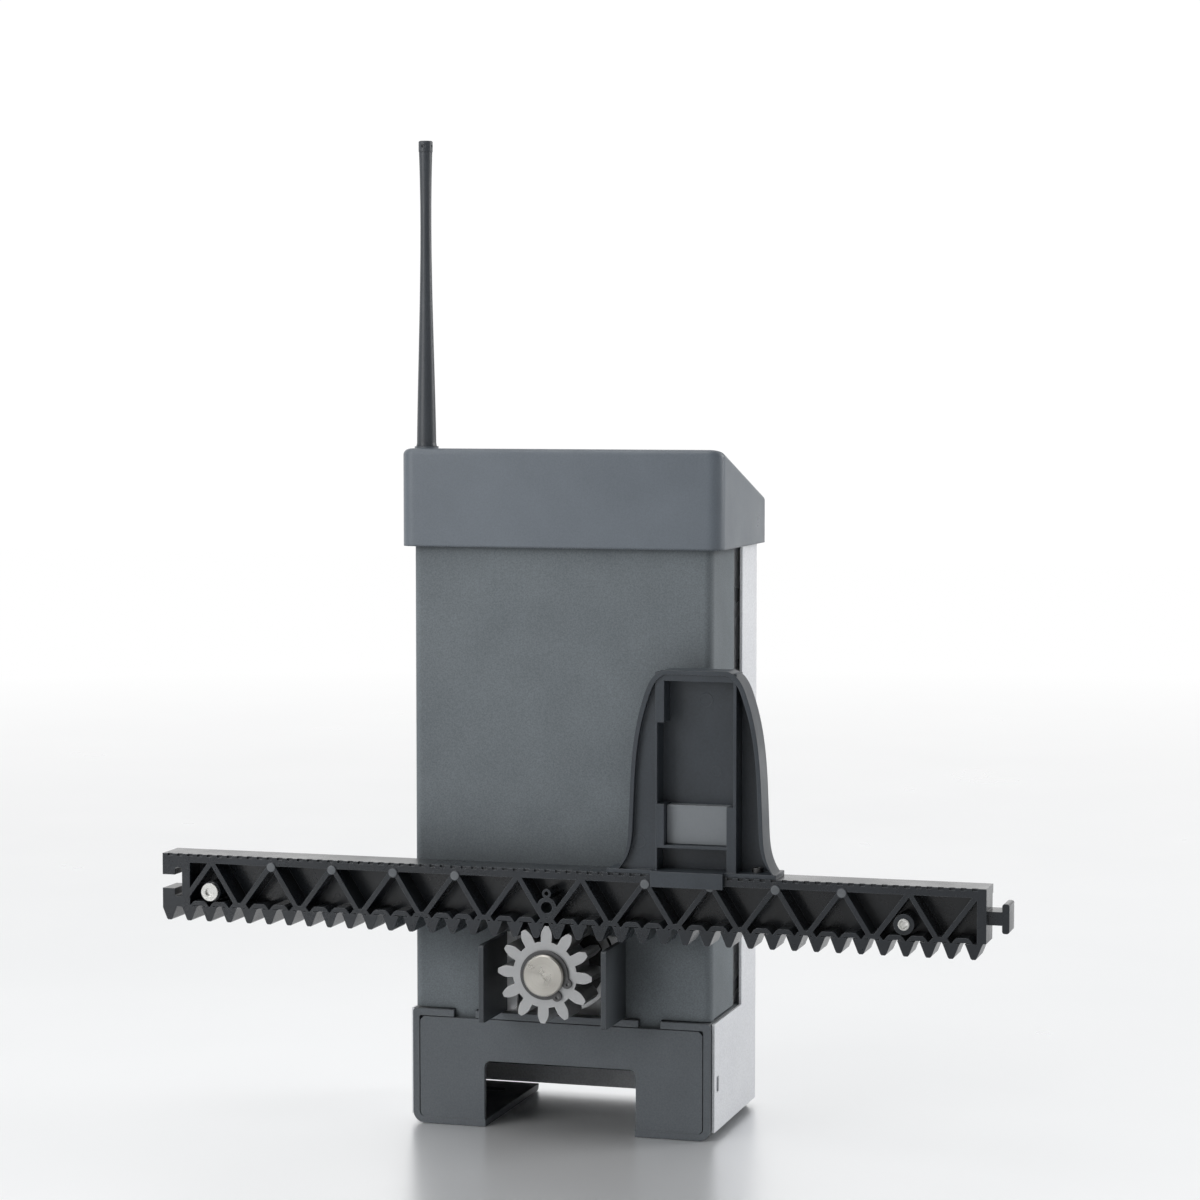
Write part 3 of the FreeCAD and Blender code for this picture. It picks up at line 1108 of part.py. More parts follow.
def make_motor():
    z0, x, y = case_top, worm_x, wheel_y
    can = tube_z(motor_can_r, motor_can_r - motor_can_wall, z0, can_top, x, y)
    floor = tube_z(motor_can_r - 1, worm_shaft_r + 2, z0, z0 + motor_can_wall, x, y)
    flange = box(x - motor_can_r, x + motor_can_r, y - 20, y + 20, z0, z0 + motor_can_wall).cut(
        cyl_z(worm_shaft_r + 2, z0 - 1, z0 + 5, x, y))
    keep("motor_can", fuse(can, floor, flange))
    core_r = motor_can_r - motor_can_wall - field_magnet_thick - air_gap
    core_low = z0 + motor_can_wall + core_lift
    magnet_in = motor_can_r - motor_can_wall - field_magnet_thick
    ring = tube_z(motor_can_r - motor_can_wall, magnet_in, core_low, core_low + core_length, x, y)
    halves = [ring.common(box(x - 40, x + 40, y + 6, y + 40, z0, can_top)),
              ring.common(box(x - 40, x + 40, y - 40, y - 6, z0, can_top))]
    keep("field_magnets", *halves)
    core = tube_z(core_r, worm_shaft_r, core_low, core_low + core_length, x, y)
    slots = []
    for i in range(10):
        a = 2 * math.pi * i / 10
        slot = box(core_r - 8, core_r + 1, -1.2, 1.2, core_low - 1, core_low + core_length + 1)
        slot.rotate(Vector(0, 0, 0), Z_AXIS, math.degrees(a))
        slots.append(moved(slot, x, y, 0))
    keep("armature_core", core.cut(Part.makeCompound(slots)))
    wind_r = core_r - 3
    windings = [tube_z(wind_r, worm_shaft_r + 0.2, core_low - 4, core_low, x, y),
                tube_z(wind_r, worm_shaft_r + 0.2, core_low + core_length, core_low + core_length + 4, x, y)]
    com_low = core_low + core_length + commutator_gap
    commutator = tube_z(commutator_r, worm_shaft_r, com_low, com_low + commutator_length, x, y)
    keep("armature_copper", commutator, *windings)
    brush_z = com_low + commutator_length / 2
    brush_in = commutator_r + SLIDE_GAP
    brushes = [box(x + s, x + s + brush_length, y - brush_width / 2, y + brush_width / 2,
                   brush_z - brush_width / 2, brush_z + brush_width / 2)
               for s in (brush_in, -brush_in - brush_length)]
    holder_half = brush_width / 2 + 2
    holder_out = math.sqrt((motor_can_r - motor_can_wall) ** 2 - holder_half ** 2)
    holders = []
    for s in (1, -1):
        x0, x1 = sorted((x + s * (brush_in + 2), x + s * holder_out))
        block = box(x0, x1, y - holder_half, y + holder_half, brush_z - holder_half, brush_z + holder_half)
        x0, x1 = sorted((x + s * (brush_in + 1), x + s * (brush_in + brush_length)))
        holders.append(block.cut(box(x0, x1, y - brush_width / 2, y + brush_width / 2,
                                     brush_z - brush_width / 2, brush_z + brush_width / 2)))
    keep("brush_gear", *(brushes + holders))
    bell = fuse(cyl_z(motor_can_r, can_top, can_top + 3, x, y), cyl_z(16, can_top, bell_top, x, y))
    bell = bell.cut(cyl_z(worm_shaft_r + SHAFT_GAP, can_top - 1, bell_top - 1, x, y))
    bolt_out = (motor_can_r - motor_can_wall - 4.4) / math.sqrt(2)
    bolt_at = [(x + s * bolt_out, y + s * bolt_out) for s in (-1, 1)]
    bolts = [screw(3.2, 2.5, motor_bolt_r, 12, Vector(bx, by, can_top + 3), Vector(0, 0, -1))
             for bx, by in bolt_at]
    bell = bell.cut(Part.makeCompound([cyl_z(motor_bolt_r, can_top - 1, can_top + 4, bx, by)
                                       for bx, by in bolt_at]))
    keep("motor_end_bell", bell)
    keep("motor_bolts", *bolts)


# ================================================================ release lever
def make_release():
    z = pinion_height + lever_rise
    arm_front = lid_boss_back + 2
    spindle = cyl_y(spindle_r, case_back - 8, arm_front + lever_thick, lever_x, z)
    pin = cyl_y(1.2, case_back - 8.5, case_back - 3, lever_x, z + 3)
    half = lever_width / 2
    arm = fuse(cyl_y(half + 2, arm_front, arm_front + lever_thick, lever_x, z),
               box(lever_x - half, lever_x + half, arm_front, arm_front + lever_thick, z - lever_length + half, z),
               cyl_y(half, arm_front, arm_front + lever_thick, lever_x, z - lever_length + half))
    keep("release_lever", fuse(spindle, pin, arm))


# ================================================================ battery, transformer
def make_power():
    half = battery_width / 2
    front = housing_inner + 3
    back = front + battery_depth
    tray = box(-half - 3, half + 3, front - 2, chassis_web, tray_top - 2, tray_top)
    lips = [box(-half - 3, half + 3, front - 2, front - 0.5, tray_top - 1, tray_top + tray_lip),
            box(-half - 3, -half - 1, front - 2, chassis_web, tray_top - 1, tray_top + tray_lip),
            box(half + 1, half + 3, front - 2, chassis_web, tray_top - 1, tray_top + tray_lip)]
    keep("battery_tray", fuse(tray, *lips))
    low = tray_top
    case = rounded_box(-half, half, front, back, low, low + battery_height, 3, Z_AXIS)
    top = low + battery_height
    spots = [(-half + 12, front + 12), (-half + 12, back - 12)]
    terminals = [fuse(box(x - 4, x + 4, y - 4, y + 4, top, top + 1.5),
                      box(x - 3.2, x + 3.2, y - 0.4, y + 0.4, top + 1, top + 8)) for x, y in spots]
    keep("battery", case, *terminals)
    over = fuse(box(-strap_width / 2, strap_width / 2, front - strap_thick - 0.3, back + strap_thick + 0.3, top,
                    top + strap_thick),
                box(-strap_width / 2, strap_width / 2, front - strap_thick - 0.3, front - 0.3, tray_top + tray_lip,
                    top + strap_thick),
                box(-strap_width / 2, strap_width / 2, back + 0.3, back + 0.3 + strap_thick, tray_top,
                    top + strap_thick))
    keep("battery_strap", over)

    x0 = transformer_left
    x1 = x0 + transformer_width
    z0 = case_top + 9
    z1 = z0 + transformer_height
    y1 = chassis_web - 3
    y0 = y1 - transformer_thick
    leg = transformer_width / 6
    core = box(x0, x1, y0, y1, z0, z1)
    for side in (x0 + leg, x0 + 4 * leg):
        core = core.cut(box(side, side + leg, y0 - 1, y1 + 1, z0 + leg, z1 - leg))
    mid0, mid1 = x0 + 2 * leg, x0 + 4 * leg
    coil = box(mid0 - leg + 1, mid1 + leg - 1, y0 - coil_thick, y1 + 2.6, z0 + leg, z1 - leg)
    coil = round_edges(coil, 2.4, Z_AXIS)
    coil = coil.cut(box(mid0, mid1, y0, y1, z0 - 1, z1 + 1))
    keep("transformer_coil", coil)
    foot = box(x0 - transformer_foot, x1 + transformer_foot, y0 - 2, y1 + 3, z0 - 4, z0)
    keep("transformer_core", core, foot)


# ================================================================ control board
def make_board():
    half = board_width / 2
    corners = [(s * (half - board_inset), z) for s in (-1, 1)
               for z in (board_bottom + board_inset, board_top - board_inset)]
    posts = [tube_y(standoff_r, 1.2, web_back, board_front, x, z) for x, z in corners]
    board = box(-half, half, board_front, board_back, board_bottom, board_top)
    board = round_edges(board, 2, Y_AXIS)
    board = board.cut(Part.makeCompound([cyl_y(1.3, board_front - 1, board_back + 1, x, z) for x, z in corners]))
    keep("board_standoffs", *posts)
    keep("control_board", board)
    keep("board_screws", *[screw(2.6, 1.8, 1.2, 5, Vector(x, board_back, z), Vector(0, -1, 0))
                           for x, z in corners])
    keep("terminal_blocks", *terminal_row(half - board_inset - 2 * standoff_r))

    left = -half + part_edge
    row_low = board_bottom + part_rise
    relay_top = row_low + relay_height
    relays = [rounded_box(x, x + relay_width, board_back, board_back + relay_thick, row_low, relay_top, 1, Y_AXIS)
              for x in (left, left + relay_pitch)]
    capacitors = [cyl_y(capacitor_r, board_back, board_back + capacitor_length, x, relay_top + capacitor_rise)
                  for x in (left + capacitor_r, left + capacitor_r + capacitor_pitch)]
    sink_left, sink_top = half - part_edge - sink_width, row_low + sink_height
    fin_pitch = (sink_width - sink_fin) / (sink_fins - 1)
    fins = [box(sink_left + i * fin_pitch, sink_left + i * fin_pitch + sink_fin, board_back + sink_base - 1,
                board_back + sink_depth, row_low, sink_top) for i in range(sink_fins)]
    plate = box(sink_left, sink_left + sink_width, board_back, board_back + sink_base, row_low, sink_top)
    keep("heat_sink", fuse(plate, *fins))

    show_z = board_top - display_drop
    show_back = board_back + display_thick
    display = box(display_left, display_left + display_width, board_back, show_back, show_z, show_z + display_height)
    pane = (display_left + display_frame, display_left + display_width - display_frame)
    pane_low, pane_high = show_z + display_frame + 1, show_z + display_height - display_frame - 1
    frame = display.cut(box(*pane, show_back - glass_depth, show_back + 1, pane_low, pane_high))
    glass = box(*pane, show_back - glass_depth, show_back - 0.6, pane_low, pane_high)
    keep("display_module", frame, glass)
    can = (left + receiver_edge, left + receiver_width - receiver_edge)
    receiver = fuse(box(left, left + receiver_width, board_back, board_back + 1.2, show_z + 2,
                        show_z + 2 + receiver_height),
                    box(*can, board_back + 1, board_back + receiver_can, show_z + 8, show_z + receiver_height))
    switches = make_keys(display_left + display_width / 2, show_z - key_drop)
    keep("board_components", receiver, *(relays + capacitors + switches))
    sensor_z = rack_top_z + magnet_lift + magnet_height / 2
    keep("magnet_sensor", fuse(box(-14, 14, housing_inner, housing_inner + 2, sensor_z - 10, sensor_z + 10),
                               box(-8, 8, housing_inner + 1, housing_inner + 5, sensor_z - 6, sensor_z + 6)))


def terminal_row(row_half):
    """Terminal blocks side by side along the board's lower edge, with wire mouths and screw wells."""
    blocks = []
    block_pitch = 2 * row_half / terminal_blocks
    ways = int((block_pitch - 2) / terminal_pitch)
    low = board_bottom + 4
    for i in range(terminal_blocks):
        x0 = -row_half + i * block_pitch + 1
        block = box(x0, x0 + ways * terminal_pitch, board_back, board_back + terminal_size, low, low + terminal_size)
        for k in range(ways):
            x = x0 + (k + 0.5) * terminal_pitch
            block = block.cut(cyl_y(1.7, board_back + 6, board_back + 12, x, low + 6))
            block = block.cut(box(x - 1.5, x + 1.5, board_back + 1.5, board_back + 5.5, low - 1, low + 5))
        blocks.append(block)
    return blocks


def make_keys(middle_x, z):
    """The four push keys, each its own node. Their switch bodies are returned."""
    switches = []
    half, bottom = switch_size / 2, 1.5
    top = board_back + switch_height
    head_front = top + key_travel + 0.4
    for i, name in enumerate(key_names):
        x = middle_x + (i - (len(key_names) - 1) / 2) * key_pitch
        body = box(x - half, x + half, board_back, top, z - half, z + half)
        switches.append(body.cut(cyl_y(switch_bore_r, board_back + bottom, top + 1, x, z)))
        stem = cyl_y(stem_r, board_back + bottom + key_travel + 0.3, head_front + 0.4, x, z)
        head = cyl_y(key_r, head_front, head_front + key_thick, x, z)
        head = head.makeFillet(0.8, [e for e in head.Edges if e.Curve.TypeId == "Part::GeomCircle"
                                     and e.CenterOfMass.y > head_front + key_thick - 0.1])
        keep(name, stem.fuse(head))
    return switches


for make in (make_base, make_housing, make_chassis, make_cap, make_antenna, make_cover, make_rack, make_bracket,
             make_output, make_gearbox, make_worm, make_motor, make_release, make_power, make_board):
    make()

os.makedirs("parts", exist_ok=True)
for name, shape in PIECES.items():
    shape.exportStep("parts/" + name + ".step")
print(len(PIECES), "nodes")
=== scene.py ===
"""Looks of the sliding gate motor: finishes, small repeated pieces, studio and camera, in metres.

Frame: the origin is on the floor, under the middle of the base. +X runs along the rack,
+Y points away from the gate and +Z is up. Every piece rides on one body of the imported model.
"""

import json
import math

import bmesh
import bpy
from mathutils import Matrix, Vector


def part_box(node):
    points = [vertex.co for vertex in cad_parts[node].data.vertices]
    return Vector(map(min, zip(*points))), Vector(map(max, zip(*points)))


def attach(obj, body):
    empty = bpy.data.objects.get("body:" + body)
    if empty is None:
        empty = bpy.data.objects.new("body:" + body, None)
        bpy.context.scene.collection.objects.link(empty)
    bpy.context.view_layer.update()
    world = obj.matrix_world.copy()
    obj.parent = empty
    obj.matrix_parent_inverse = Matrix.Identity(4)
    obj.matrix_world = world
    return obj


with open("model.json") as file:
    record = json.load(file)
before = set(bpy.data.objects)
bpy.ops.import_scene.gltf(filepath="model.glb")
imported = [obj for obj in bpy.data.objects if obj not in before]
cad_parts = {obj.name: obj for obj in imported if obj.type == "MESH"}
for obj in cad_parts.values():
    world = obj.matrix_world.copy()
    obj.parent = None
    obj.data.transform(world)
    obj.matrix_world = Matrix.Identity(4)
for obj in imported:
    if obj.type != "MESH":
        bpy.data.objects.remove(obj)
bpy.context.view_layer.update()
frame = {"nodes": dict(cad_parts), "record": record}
nodes = frame["nodes"]
MM = 0.001


# ---------------------------------------------------------------- node helpers
def add(tree, kind, *values, **settings):
    """A node with its settings. Values fill its inputs in order: a number, a colour, or a socket to link."""
    node = tree.nodes.new(kind)
    for key, value in settings.items():
        setattr(node, key, value)
    for socket, value in zip(node.inputs, values):
        feed(tree, socket, value)
    return node


def feed(tree, socket, value):
    if isinstance(value, bpy.types.NodeSocket):
        tree.links.new(value, socket)
    elif value is not None:
        socket.default_value = value


def math_node(tree, operation, *values):
    return add(tree, "ShaderNodeMath", *values, operation=operation).outputs[0]


def mixed(tree, factor, first, second, blend="MIX"):
    """Colour mix of two colours or sockets."""
    node = tree.nodes.new("ShaderNodeMix")
    node.data_type, node.blend_type = "RGBA", blend
    for index, value in ((0, factor), (6, first), (7, second)):
        feed(tree, node.inputs[index], value)
    return node.outputs[2]


def remap(tree, value, low, high, to_low, to_high):
    node = add(tree, "ShaderNodeMapRange", value, low, high, to_low, to_high)
    return node.outputs[0]


def new_group(name, inputs, outputs):
    """An empty shader group. Inputs are (name, kind, default), outputs are (name, kind)."""
    group = bpy.data.node_groups.new(name, "ShaderNodeTree")
    for label, kind, default in inputs:
        socket = group.interface.new_socket(label, in_out="INPUT", socket_type="NodeSocket" + kind)
        if default is not None:
            socket.default_value = default
    for label, kind in outputs:
        group.interface.new_socket(label, in_out="OUTPUT", socket_type="NodeSocket" + kind)
    return group, group.nodes.new("NodeGroupInput").outputs, group.nodes.new("NodeGroupOutput").inputs


# ---------------------------------------------------------------- shared surface effects
def make_moulded_grain():
    """Fine spark-eroded grain of a moulding, with a slower swell under it."""
    group, given, out = new_group(
        "moulded grain",
        [("Coordinate", "Vector", None), ("Grain Size", "Float", 0.5), ("Swell", "Float", 0.3)],
        [("Height", "Float"), ("Tone", "Float"), ("Speck", "Float")])
    fine_scale = math_node(group, "DIVIDE", 1000.0, given["Grain Size"])
    fine = add(group, "ShaderNodeTexNoise", given["Coordinate"], None, fine_scale, 3.0, 0.6)
    cells = add(group, "ShaderNodeTexVoronoi", given["Coordinate"], None, fine_scale)
    swell = add(group, "ShaderNodeTexNoise", given["Coordinate"], None, 28.0, 2.0, 0.5)
    grain = math_node(group, "MULTIPLY_ADD", cells.outputs["Distance"], 0.5, fine.outputs[0])
    feed(group, out["Height"], math_node(group, "MULTIPLY_ADD", swell.outputs[0], given["Swell"], grain))
    feed(group, out["Tone"], remap(group, swell.outputs[0], 0.3, 0.7, 0.0, 1.0))
    feed(group, out["Speck"], remap(group, fine.outputs[0], 0.32, 0.68, 0.0, 1.0))
    return group


def make_edge_wear_and_light():
    """Mask of the edges, broken up by noise, and the normal that rounds them."""
    group, given, out = new_group(
        "edge wear and edge light",
        [("Coordinate", "Vector", None), ("Width", "Float", 0.0006), ("Breakup", "Float", 0.5)],
        [("Mask", "Float"), ("Normal", "Vector")])
    bevel = add(group, "ShaderNodeBevel", given["Width"], samples=4)
    face = add(group, "ShaderNodeNewGeometry").outputs["Normal"]
    same = add(group, "ShaderNodeVectorMath", bevel.outputs[0], face, operation="DOT_PRODUCT")
    edge = remap(group, same.outputs["Value"], 1.0, 0.82, 0.0, 1.0)
    noise = add(group, "ShaderNodeTexNoise", given["Coordinate"], None, 220.0, 3.0, 0.6).outputs[0]
    broken = math_node(group, "SUBTRACT", 1.0, math_node(group, "MULTIPLY", noise, given["Breakup"]))
    feed(group, out["Mask"], math_node(group, "MULTIPLY", edge, broken))
    feed(group, out["Normal"], bevel.outputs[0])
    return group


def make_handling_dust():
    """Thin dust that settles on faces that look up, with soft finger marks everywhere."""
    group, given, out = new_group(
        "handling and dust",
        [("Coordinate", "Vector", None), ("Dust", "Float", 0.3), ("Smudge", "Float", 0.3)],
        [("Dust", "Float"), ("Roughness Shift", "Float")])
    face = add(group, "ShaderNodeNewGeometry").outputs["Normal"]
    up = add(group, "ShaderNodeSeparateXYZ", face).outputs["Z"]
    settle = remap(group, up, 0.4, 1.0, 0.0, 1.0)
    speck = add(group, "ShaderNodeTexNoise", given["Coordinate"], None, 60.0, 6.0, 0.7).outputs[0]
    patch = remap(group, speck, 0.35, 0.75, 0.0, 1.0)
    settled = math_node(group, "MULTIPLY", settle, patch)
    feed(group, out["Dust"], math_node(group, "MULTIPLY", settled, given["Dust"]))
    smear = add(group, "ShaderNodeTexNoise", given["Coordinate"], None, 17.0, 4.0, 0.65).outputs[0]
    shift = remap(group, smear, 0.3, 0.7, -0.5, 0.5)
    feed(group, out["Roughness Shift"], math_node(group, "MULTIPLY", shift, given["Smudge"]))
    return group


def make_turning_marks():
    """Concentric tool marks about the Y axis of the coordinate."""
    group, given, out = new_group(
        "turning marks",
        [("Coordinate", "Vector", None), ("Pitch", "Float", 0.0004)],
        [("Height", "Float"), ("Tone", "Float")])
    parts = add(group, "ShaderNodeSeparateXYZ", given["Coordinate"]).outputs
    squares = [math_node(group, "POWER", parts[axis], 2.0) for axis in ("X", "Z")]
    radius = math_node(group, "SQRT", math_node(group, "ADD", *squares))
    wander = add(group, "ShaderNodeTexNoise", given["Coordinate"], None, 300.0, 2.0, 0.5).outputs[0]
    turns = math_node(group, "DIVIDE", radius, given["Pitch"])
    angle = math_node(group, "MULTIPLY", turns, 2 * math.pi)
    wave = math_node(group, "SINE", math_node(group, "MULTIPLY_ADD", wander, 1.5, angle))
    feed(group, out["Height"], wave)
    along = add(group, "ShaderNodeCombineXYZ", radius).outputs[0]
    feed(group, out["Tone"], add(group, "ShaderNodeTexNoise", along, None, 900.0, 2.0, 0.5).outputs[0])
    return group


def make_corner_shade():
    """Mask of corners and recesses, from ambient occlusion broken into patches, where shade is painted into
    the colour.
    """
    group, given, out = new_group(
        "painted shade in corners",
        [("Coordinate", "Vector", None), ("Reach", "Float", 0.05)],
        [("Mask", "Float")])
    cover = add(group, "ShaderNodeAmbientOcclusion", samples=6)
    feed(group, cover.inputs["Distance"], given["Reach"])
    patchy = add(group, "ShaderNodeTexNoise", given["Coordinate"], None, 45.0, 3.0, 0.6).outputs[0]
    open_air = remap(group, cover.outputs["AO"], 0.25, 0.85, 0.0, 1.0)
    closed = math_node(group, "SUBTRACT", 1.0, open_air)
    patches = remap(group, patchy, 0.2, 0.6, 0.75, 1.0)
    feed(group, out["Mask"], math_node(group, "MULTIPLY", closed, patches))
    return group


GRAIN = make_moulded_grain()
EDGE_WEAR_AND_LIGHT = make_edge_wear_and_light()
DUST = make_handling_dust()
TURNING = make_turning_marks()
CORNER_SHADE = make_corner_shade()


# ---------------------------------------------------------------- materials
DUST_COLOUR = (0.42, 0.41, 0.39)
CORNER_SHADE_REACH = 0.04   # painted shade reaches this far from a corner
METAL_EDGE = 0.0004    # width of a metal piece's rubbed edges


class Finish:
    """A material under construction: its Principled shader, Object coordinates and shared effects."""

    def __init__(self, name, roughness, metallic=0.0, coat=0.0, coat_roughness=0.1):
        self.material = bpy.data.materials.new(name)
        self.material.use_nodes = True
        self.tree = self.material.node_tree
        self.tree.nodes.clear()
        self.shader = self.tree.nodes.new("ShaderNodeBsdfPrincipled")
        output = self.tree.nodes.new("ShaderNodeOutputMaterial")
        self.tree.links.new(self.shader.outputs[0], output.inputs[0])
        for socket, value in (("Roughness", roughness), ("Metallic", metallic), ("Coat Weight", coat),
                              ("Coat Roughness", coat_roughness)):
            self.shader.inputs[socket].default_value = value
        self.at = self.tree.nodes.new("ShaderNodeTexCoord").outputs["Object"]
        self.normal = None

    def effect(self, group, **values):
        """Place a shared effect with its values, and give its outputs."""
        node = self.tree.nodes.new("ShaderNodeGroup")
        node.node_tree = group
        self.tree.links.new(values.pop("Coordinate", self.at), node.inputs["Coordinate"])
        for key, value in values.items():
            feed(self.tree, node.inputs[key.replace("_", " ")], value)
        return node.outputs

    def placed(self, centre=(0, 0, 0), turn=(0, 0, 0)):
        """Object coordinates about a centre in metres, turned."""
        mapping = add(self.tree, "ShaderNodeMapping", self.at, vector_type="TEXTURE")
        mapping.inputs["Location"].default_value = centre
        mapping.inputs["Rotation"].default_value = turn
        return mapping.outputs[0]

    def noise(self, scale, detail):
        return add(self.tree, "ShaderNodeTexNoise", self.at, None, scale, detail, 0.6).outputs[0]

    def colour(self, value):
        feed(self.tree, self.shader.inputs["Base Color"], value)

    def rough(self, value):
        feed(self.tree, self.shader.inputs["Roughness"], value)

    def bump(self, height, strength, depth):
        """Relief of a depth in metres, on top of any rounded normal."""
        node = add(self.tree, "ShaderNodeBump")
        node.inputs["Strength"].default_value = strength
        node.inputs["Distance"].default_value = depth
        feed(self.tree, node.inputs["Height"], height)
        if self.normal is not None:
            feed(self.tree, node.inputs["Normal"], self.normal)
        self.normal = node.outputs[0]
        feed(self.tree, self.shader.inputs["Normal"], self.normal)

    def rounded(self, normal):
        """The normal that softens the edges. Relief added later goes on top of it."""
        self.normal = normal
        feed(self.tree, self.shader.inputs["Normal"], normal)


def moulded_plastic(name, dark, light, roughness, edge, grain=0.6, depth=0.00006, edge_width=0.0006,
                    dust=0.25, smudge=0.12, coat=0.0, coat_rough=0.25, strength=0.5, speckle=0.1,
                    corner_shade=0.0):
    """Grained moulding or paint: two flecked tones, an edge colour, dust on top, painted shade in corners.
    The edge colour is rubbed wear on most finishes, a painted highlight on the rack and the guards, and
    painted shade on the cap.
    """
    finish = Finish(name, roughness, coat=coat, coat_roughness=coat_rough)
    tree = finish.tree
    edge_wear_and_light = finish.effect(EDGE_WEAR_AND_LIGHT, Width=edge_width, Breakup=0.6)
    grained = finish.effect(GRAIN, Grain_Size=grain, Swell=0.3)
    marks = finish.effect(DUST, Dust=dust, Smudge=smudge)
    tone = mixed(tree, grained["Tone"], (*dark, 1), (*light, 1))
    fleck = remap(tree, grained["Speck"], 0.0, 1.0, 1.0 - speckle, 1.0 + speckle)
    flecked = add(tree, "ShaderNodeCombineXYZ", fleck, fleck, fleck).outputs[0]
    tone = mixed(tree, 1.0, tone, flecked, "MULTIPLY")
    # Edge colour: rubbed wear on most finishes; a painted highlight along the edges of the rack and the
    # guards; painted shade along the rounded edges of the cap.
    tone = mixed(tree, math_node(tree, "MULTIPLY", edge_wear_and_light["Mask"], 0.6), tone, (*edge, 1))
    tone = mixed(tree, marks["Dust"], tone, (*DUST_COLOUR, 1))
    # Painted shade: the colour is darkened in corners and recesses, where ambient occlusion finds them.
    if corner_shade:
        corner = finish.effect(CORNER_SHADE, Reach=CORNER_SHADE_REACH)["Mask"]
        corner_shade_colour = tuple(value * 0.25 for value in dark)
        tone = mixed(tree, math_node(tree, "MULTIPLY", corner, corner_shade), tone, (*corner_shade_colour, 1))
    finish.colour(tone)
    finish.rough(math_node(tree, "ADD", marks["Roughness Shift"], roughness))
    finish.rounded(edge_wear_and_light["Normal"])
    finish.bump(grained["Height"], strength, depth)
    return finish.material


def plain_metal(name, tone, other, roughness, grain_scale, edge, depth=0.00003, metallic=1.0):
    """Ground, cast or plated metal: a fine mottle, cloudy tone and rubbed edges."""
    finish = Finish(name, roughness, metallic)
    tree = finish.tree
    edge_wear_and_light = finish.effect(EDGE_WEAR_AND_LIGHT, Width=METAL_EDGE, Breakup=0.4)
    mottle = finish.noise(grain_scale, 4.0)
    clouds = finish.noise(25.0, 4.0)
    marks = finish.effect(DUST, Dust=0.1, Smudge=0.15)
    colour = mixed(tree, clouds, (*tone, 1), (*other, 1))
    colour = mixed(tree, math_node(tree, "MULTIPLY", edge_wear_and_light["Mask"], 0.7), colour, (*edge, 1))
    finish.colour(mixed(tree, marks["Dust"], colour, (0.4, 0.39, 0.37, 1)))
    varied = remap(tree, mottle, 0.3, 0.7, roughness * 0.75, roughness * 1.25)
    finish.rough(math_node(tree, "ADD", varied, marks["Roughness Shift"]))
    finish.rounded(edge_wear_and_light["Normal"])
    finish.bump(mottle, 0.4, depth)
    return finish.material


def turned_metal(name, tone, other, roughness, centre, pitch=0.0005, strength=0.5):
    """Lathe-turned metal about the Y axis through a centre, stained in clouds."""
    finish = Finish(name, roughness, metallic=1.0)
    tree = finish.tree
    edge_wear_and_light = finish.effect(EDGE_WEAR_AND_LIGHT, Width=METAL_EDGE, Breakup=0.3)
    rings = finish.effect(TURNING, Coordinate=finish.placed(centre), Pitch=pitch)
    clouds = finish.noise(45.0, 4.0)
    colour = mixed(tree, rings["Tone"], (*tone, 1), (*other, 1))
    colour = mixed(tree, math_node(tree, "MULTIPLY", clouds, 0.35), colour, (0.33, 0.31, 0.29, 1))
    colour = mixed(tree, math_node(tree, "MULTIPLY", edge_wear_and_light["Mask"], 0.7), colour, (0.8, 0.8, 0.8, 1))
    finish.colour(colour)
    finish.rough(remap(tree, clouds, 0.3, 0.7, roughness * 0.8, roughness * 1.3))
    finish.rounded(edge_wear_and_light["Normal"])
    finish.bump(rings["Height"], strength, 0.00003)
    return finish.material


def galvanised(name, tone, other, roughness):
    """Zinc-coated sheet with its spangle."""
    finish = Finish(name, roughness, metallic=0.35)
    tree = finish.tree
    edge_wear_and_light = finish.effect(EDGE_WEAR_AND_LIGHT, Width=METAL_EDGE, Breakup=0.4)
    marks = finish.effect(DUST, Dust=0.15, Smudge=0.15)
    spangle = add(tree, "ShaderNodeTexVoronoi", finish.at, None, 110.0)
    flake = add(tree, "ShaderNodeSeparateColor", spangle.outputs["Color"]).outputs[0]
    colour = mixed(tree, flake, (*tone, 1), (*other, 1))
    finish.colour(mixed(tree, edge_wear_and_light["Mask"], colour, (0.9, 0.9, 0.9, 1)))
    varied = remap(tree, flake, 0.0, 1.0, roughness * 0.7, roughness * 1.3)
    finish.rough(math_node(tree, "ADD", varied, marks["Roughness Shift"]))
    finish.rounded(edge_wear_and_light["Normal"])
    finish.bump(finish.noise(180.0, 4.0), 0.25, 0.00004)
    return finish.material


def laminations(name, tone, gap, sheet, roughness):
    """Stacked sheets, one on another up the Z axis, with rust in the joints."""
    finish = Finish(name, roughness, metallic=0.8)
    tree = finish.tree
    height = add(tree, "ShaderNodeSeparateXYZ", finish.at).outputs["Z"]
    share = math_node(tree, "FRACT", math_node(tree, "DIVIDE", height, sheet))
    from_middle = math_node(tree, "ABSOLUTE", math_node(tree, "SUBTRACT", share, 0.5))
    joint = remap(tree, from_middle, 0.32, 0.46, 0.0, 1.0)
    rust = finish.noise(90.0, 5.0)
    stained = remap(tree, rust, 0.4, 0.75, 0.0, 0.5)
    colour = mixed(tree, stained, (*tone, 1), (0.25, 0.16, 0.10, 1))
    finish.colour(mixed(tree, joint, colour, (*gap, 1)))
    finish.rough(remap(tree, rust, 0.3, 0.7, roughness * 0.8, roughness * 1.2))
    finish.bump(math_node(tree, "SUBTRACT", 1.0, joint), 0.6, 0.0001)
    return finish.material


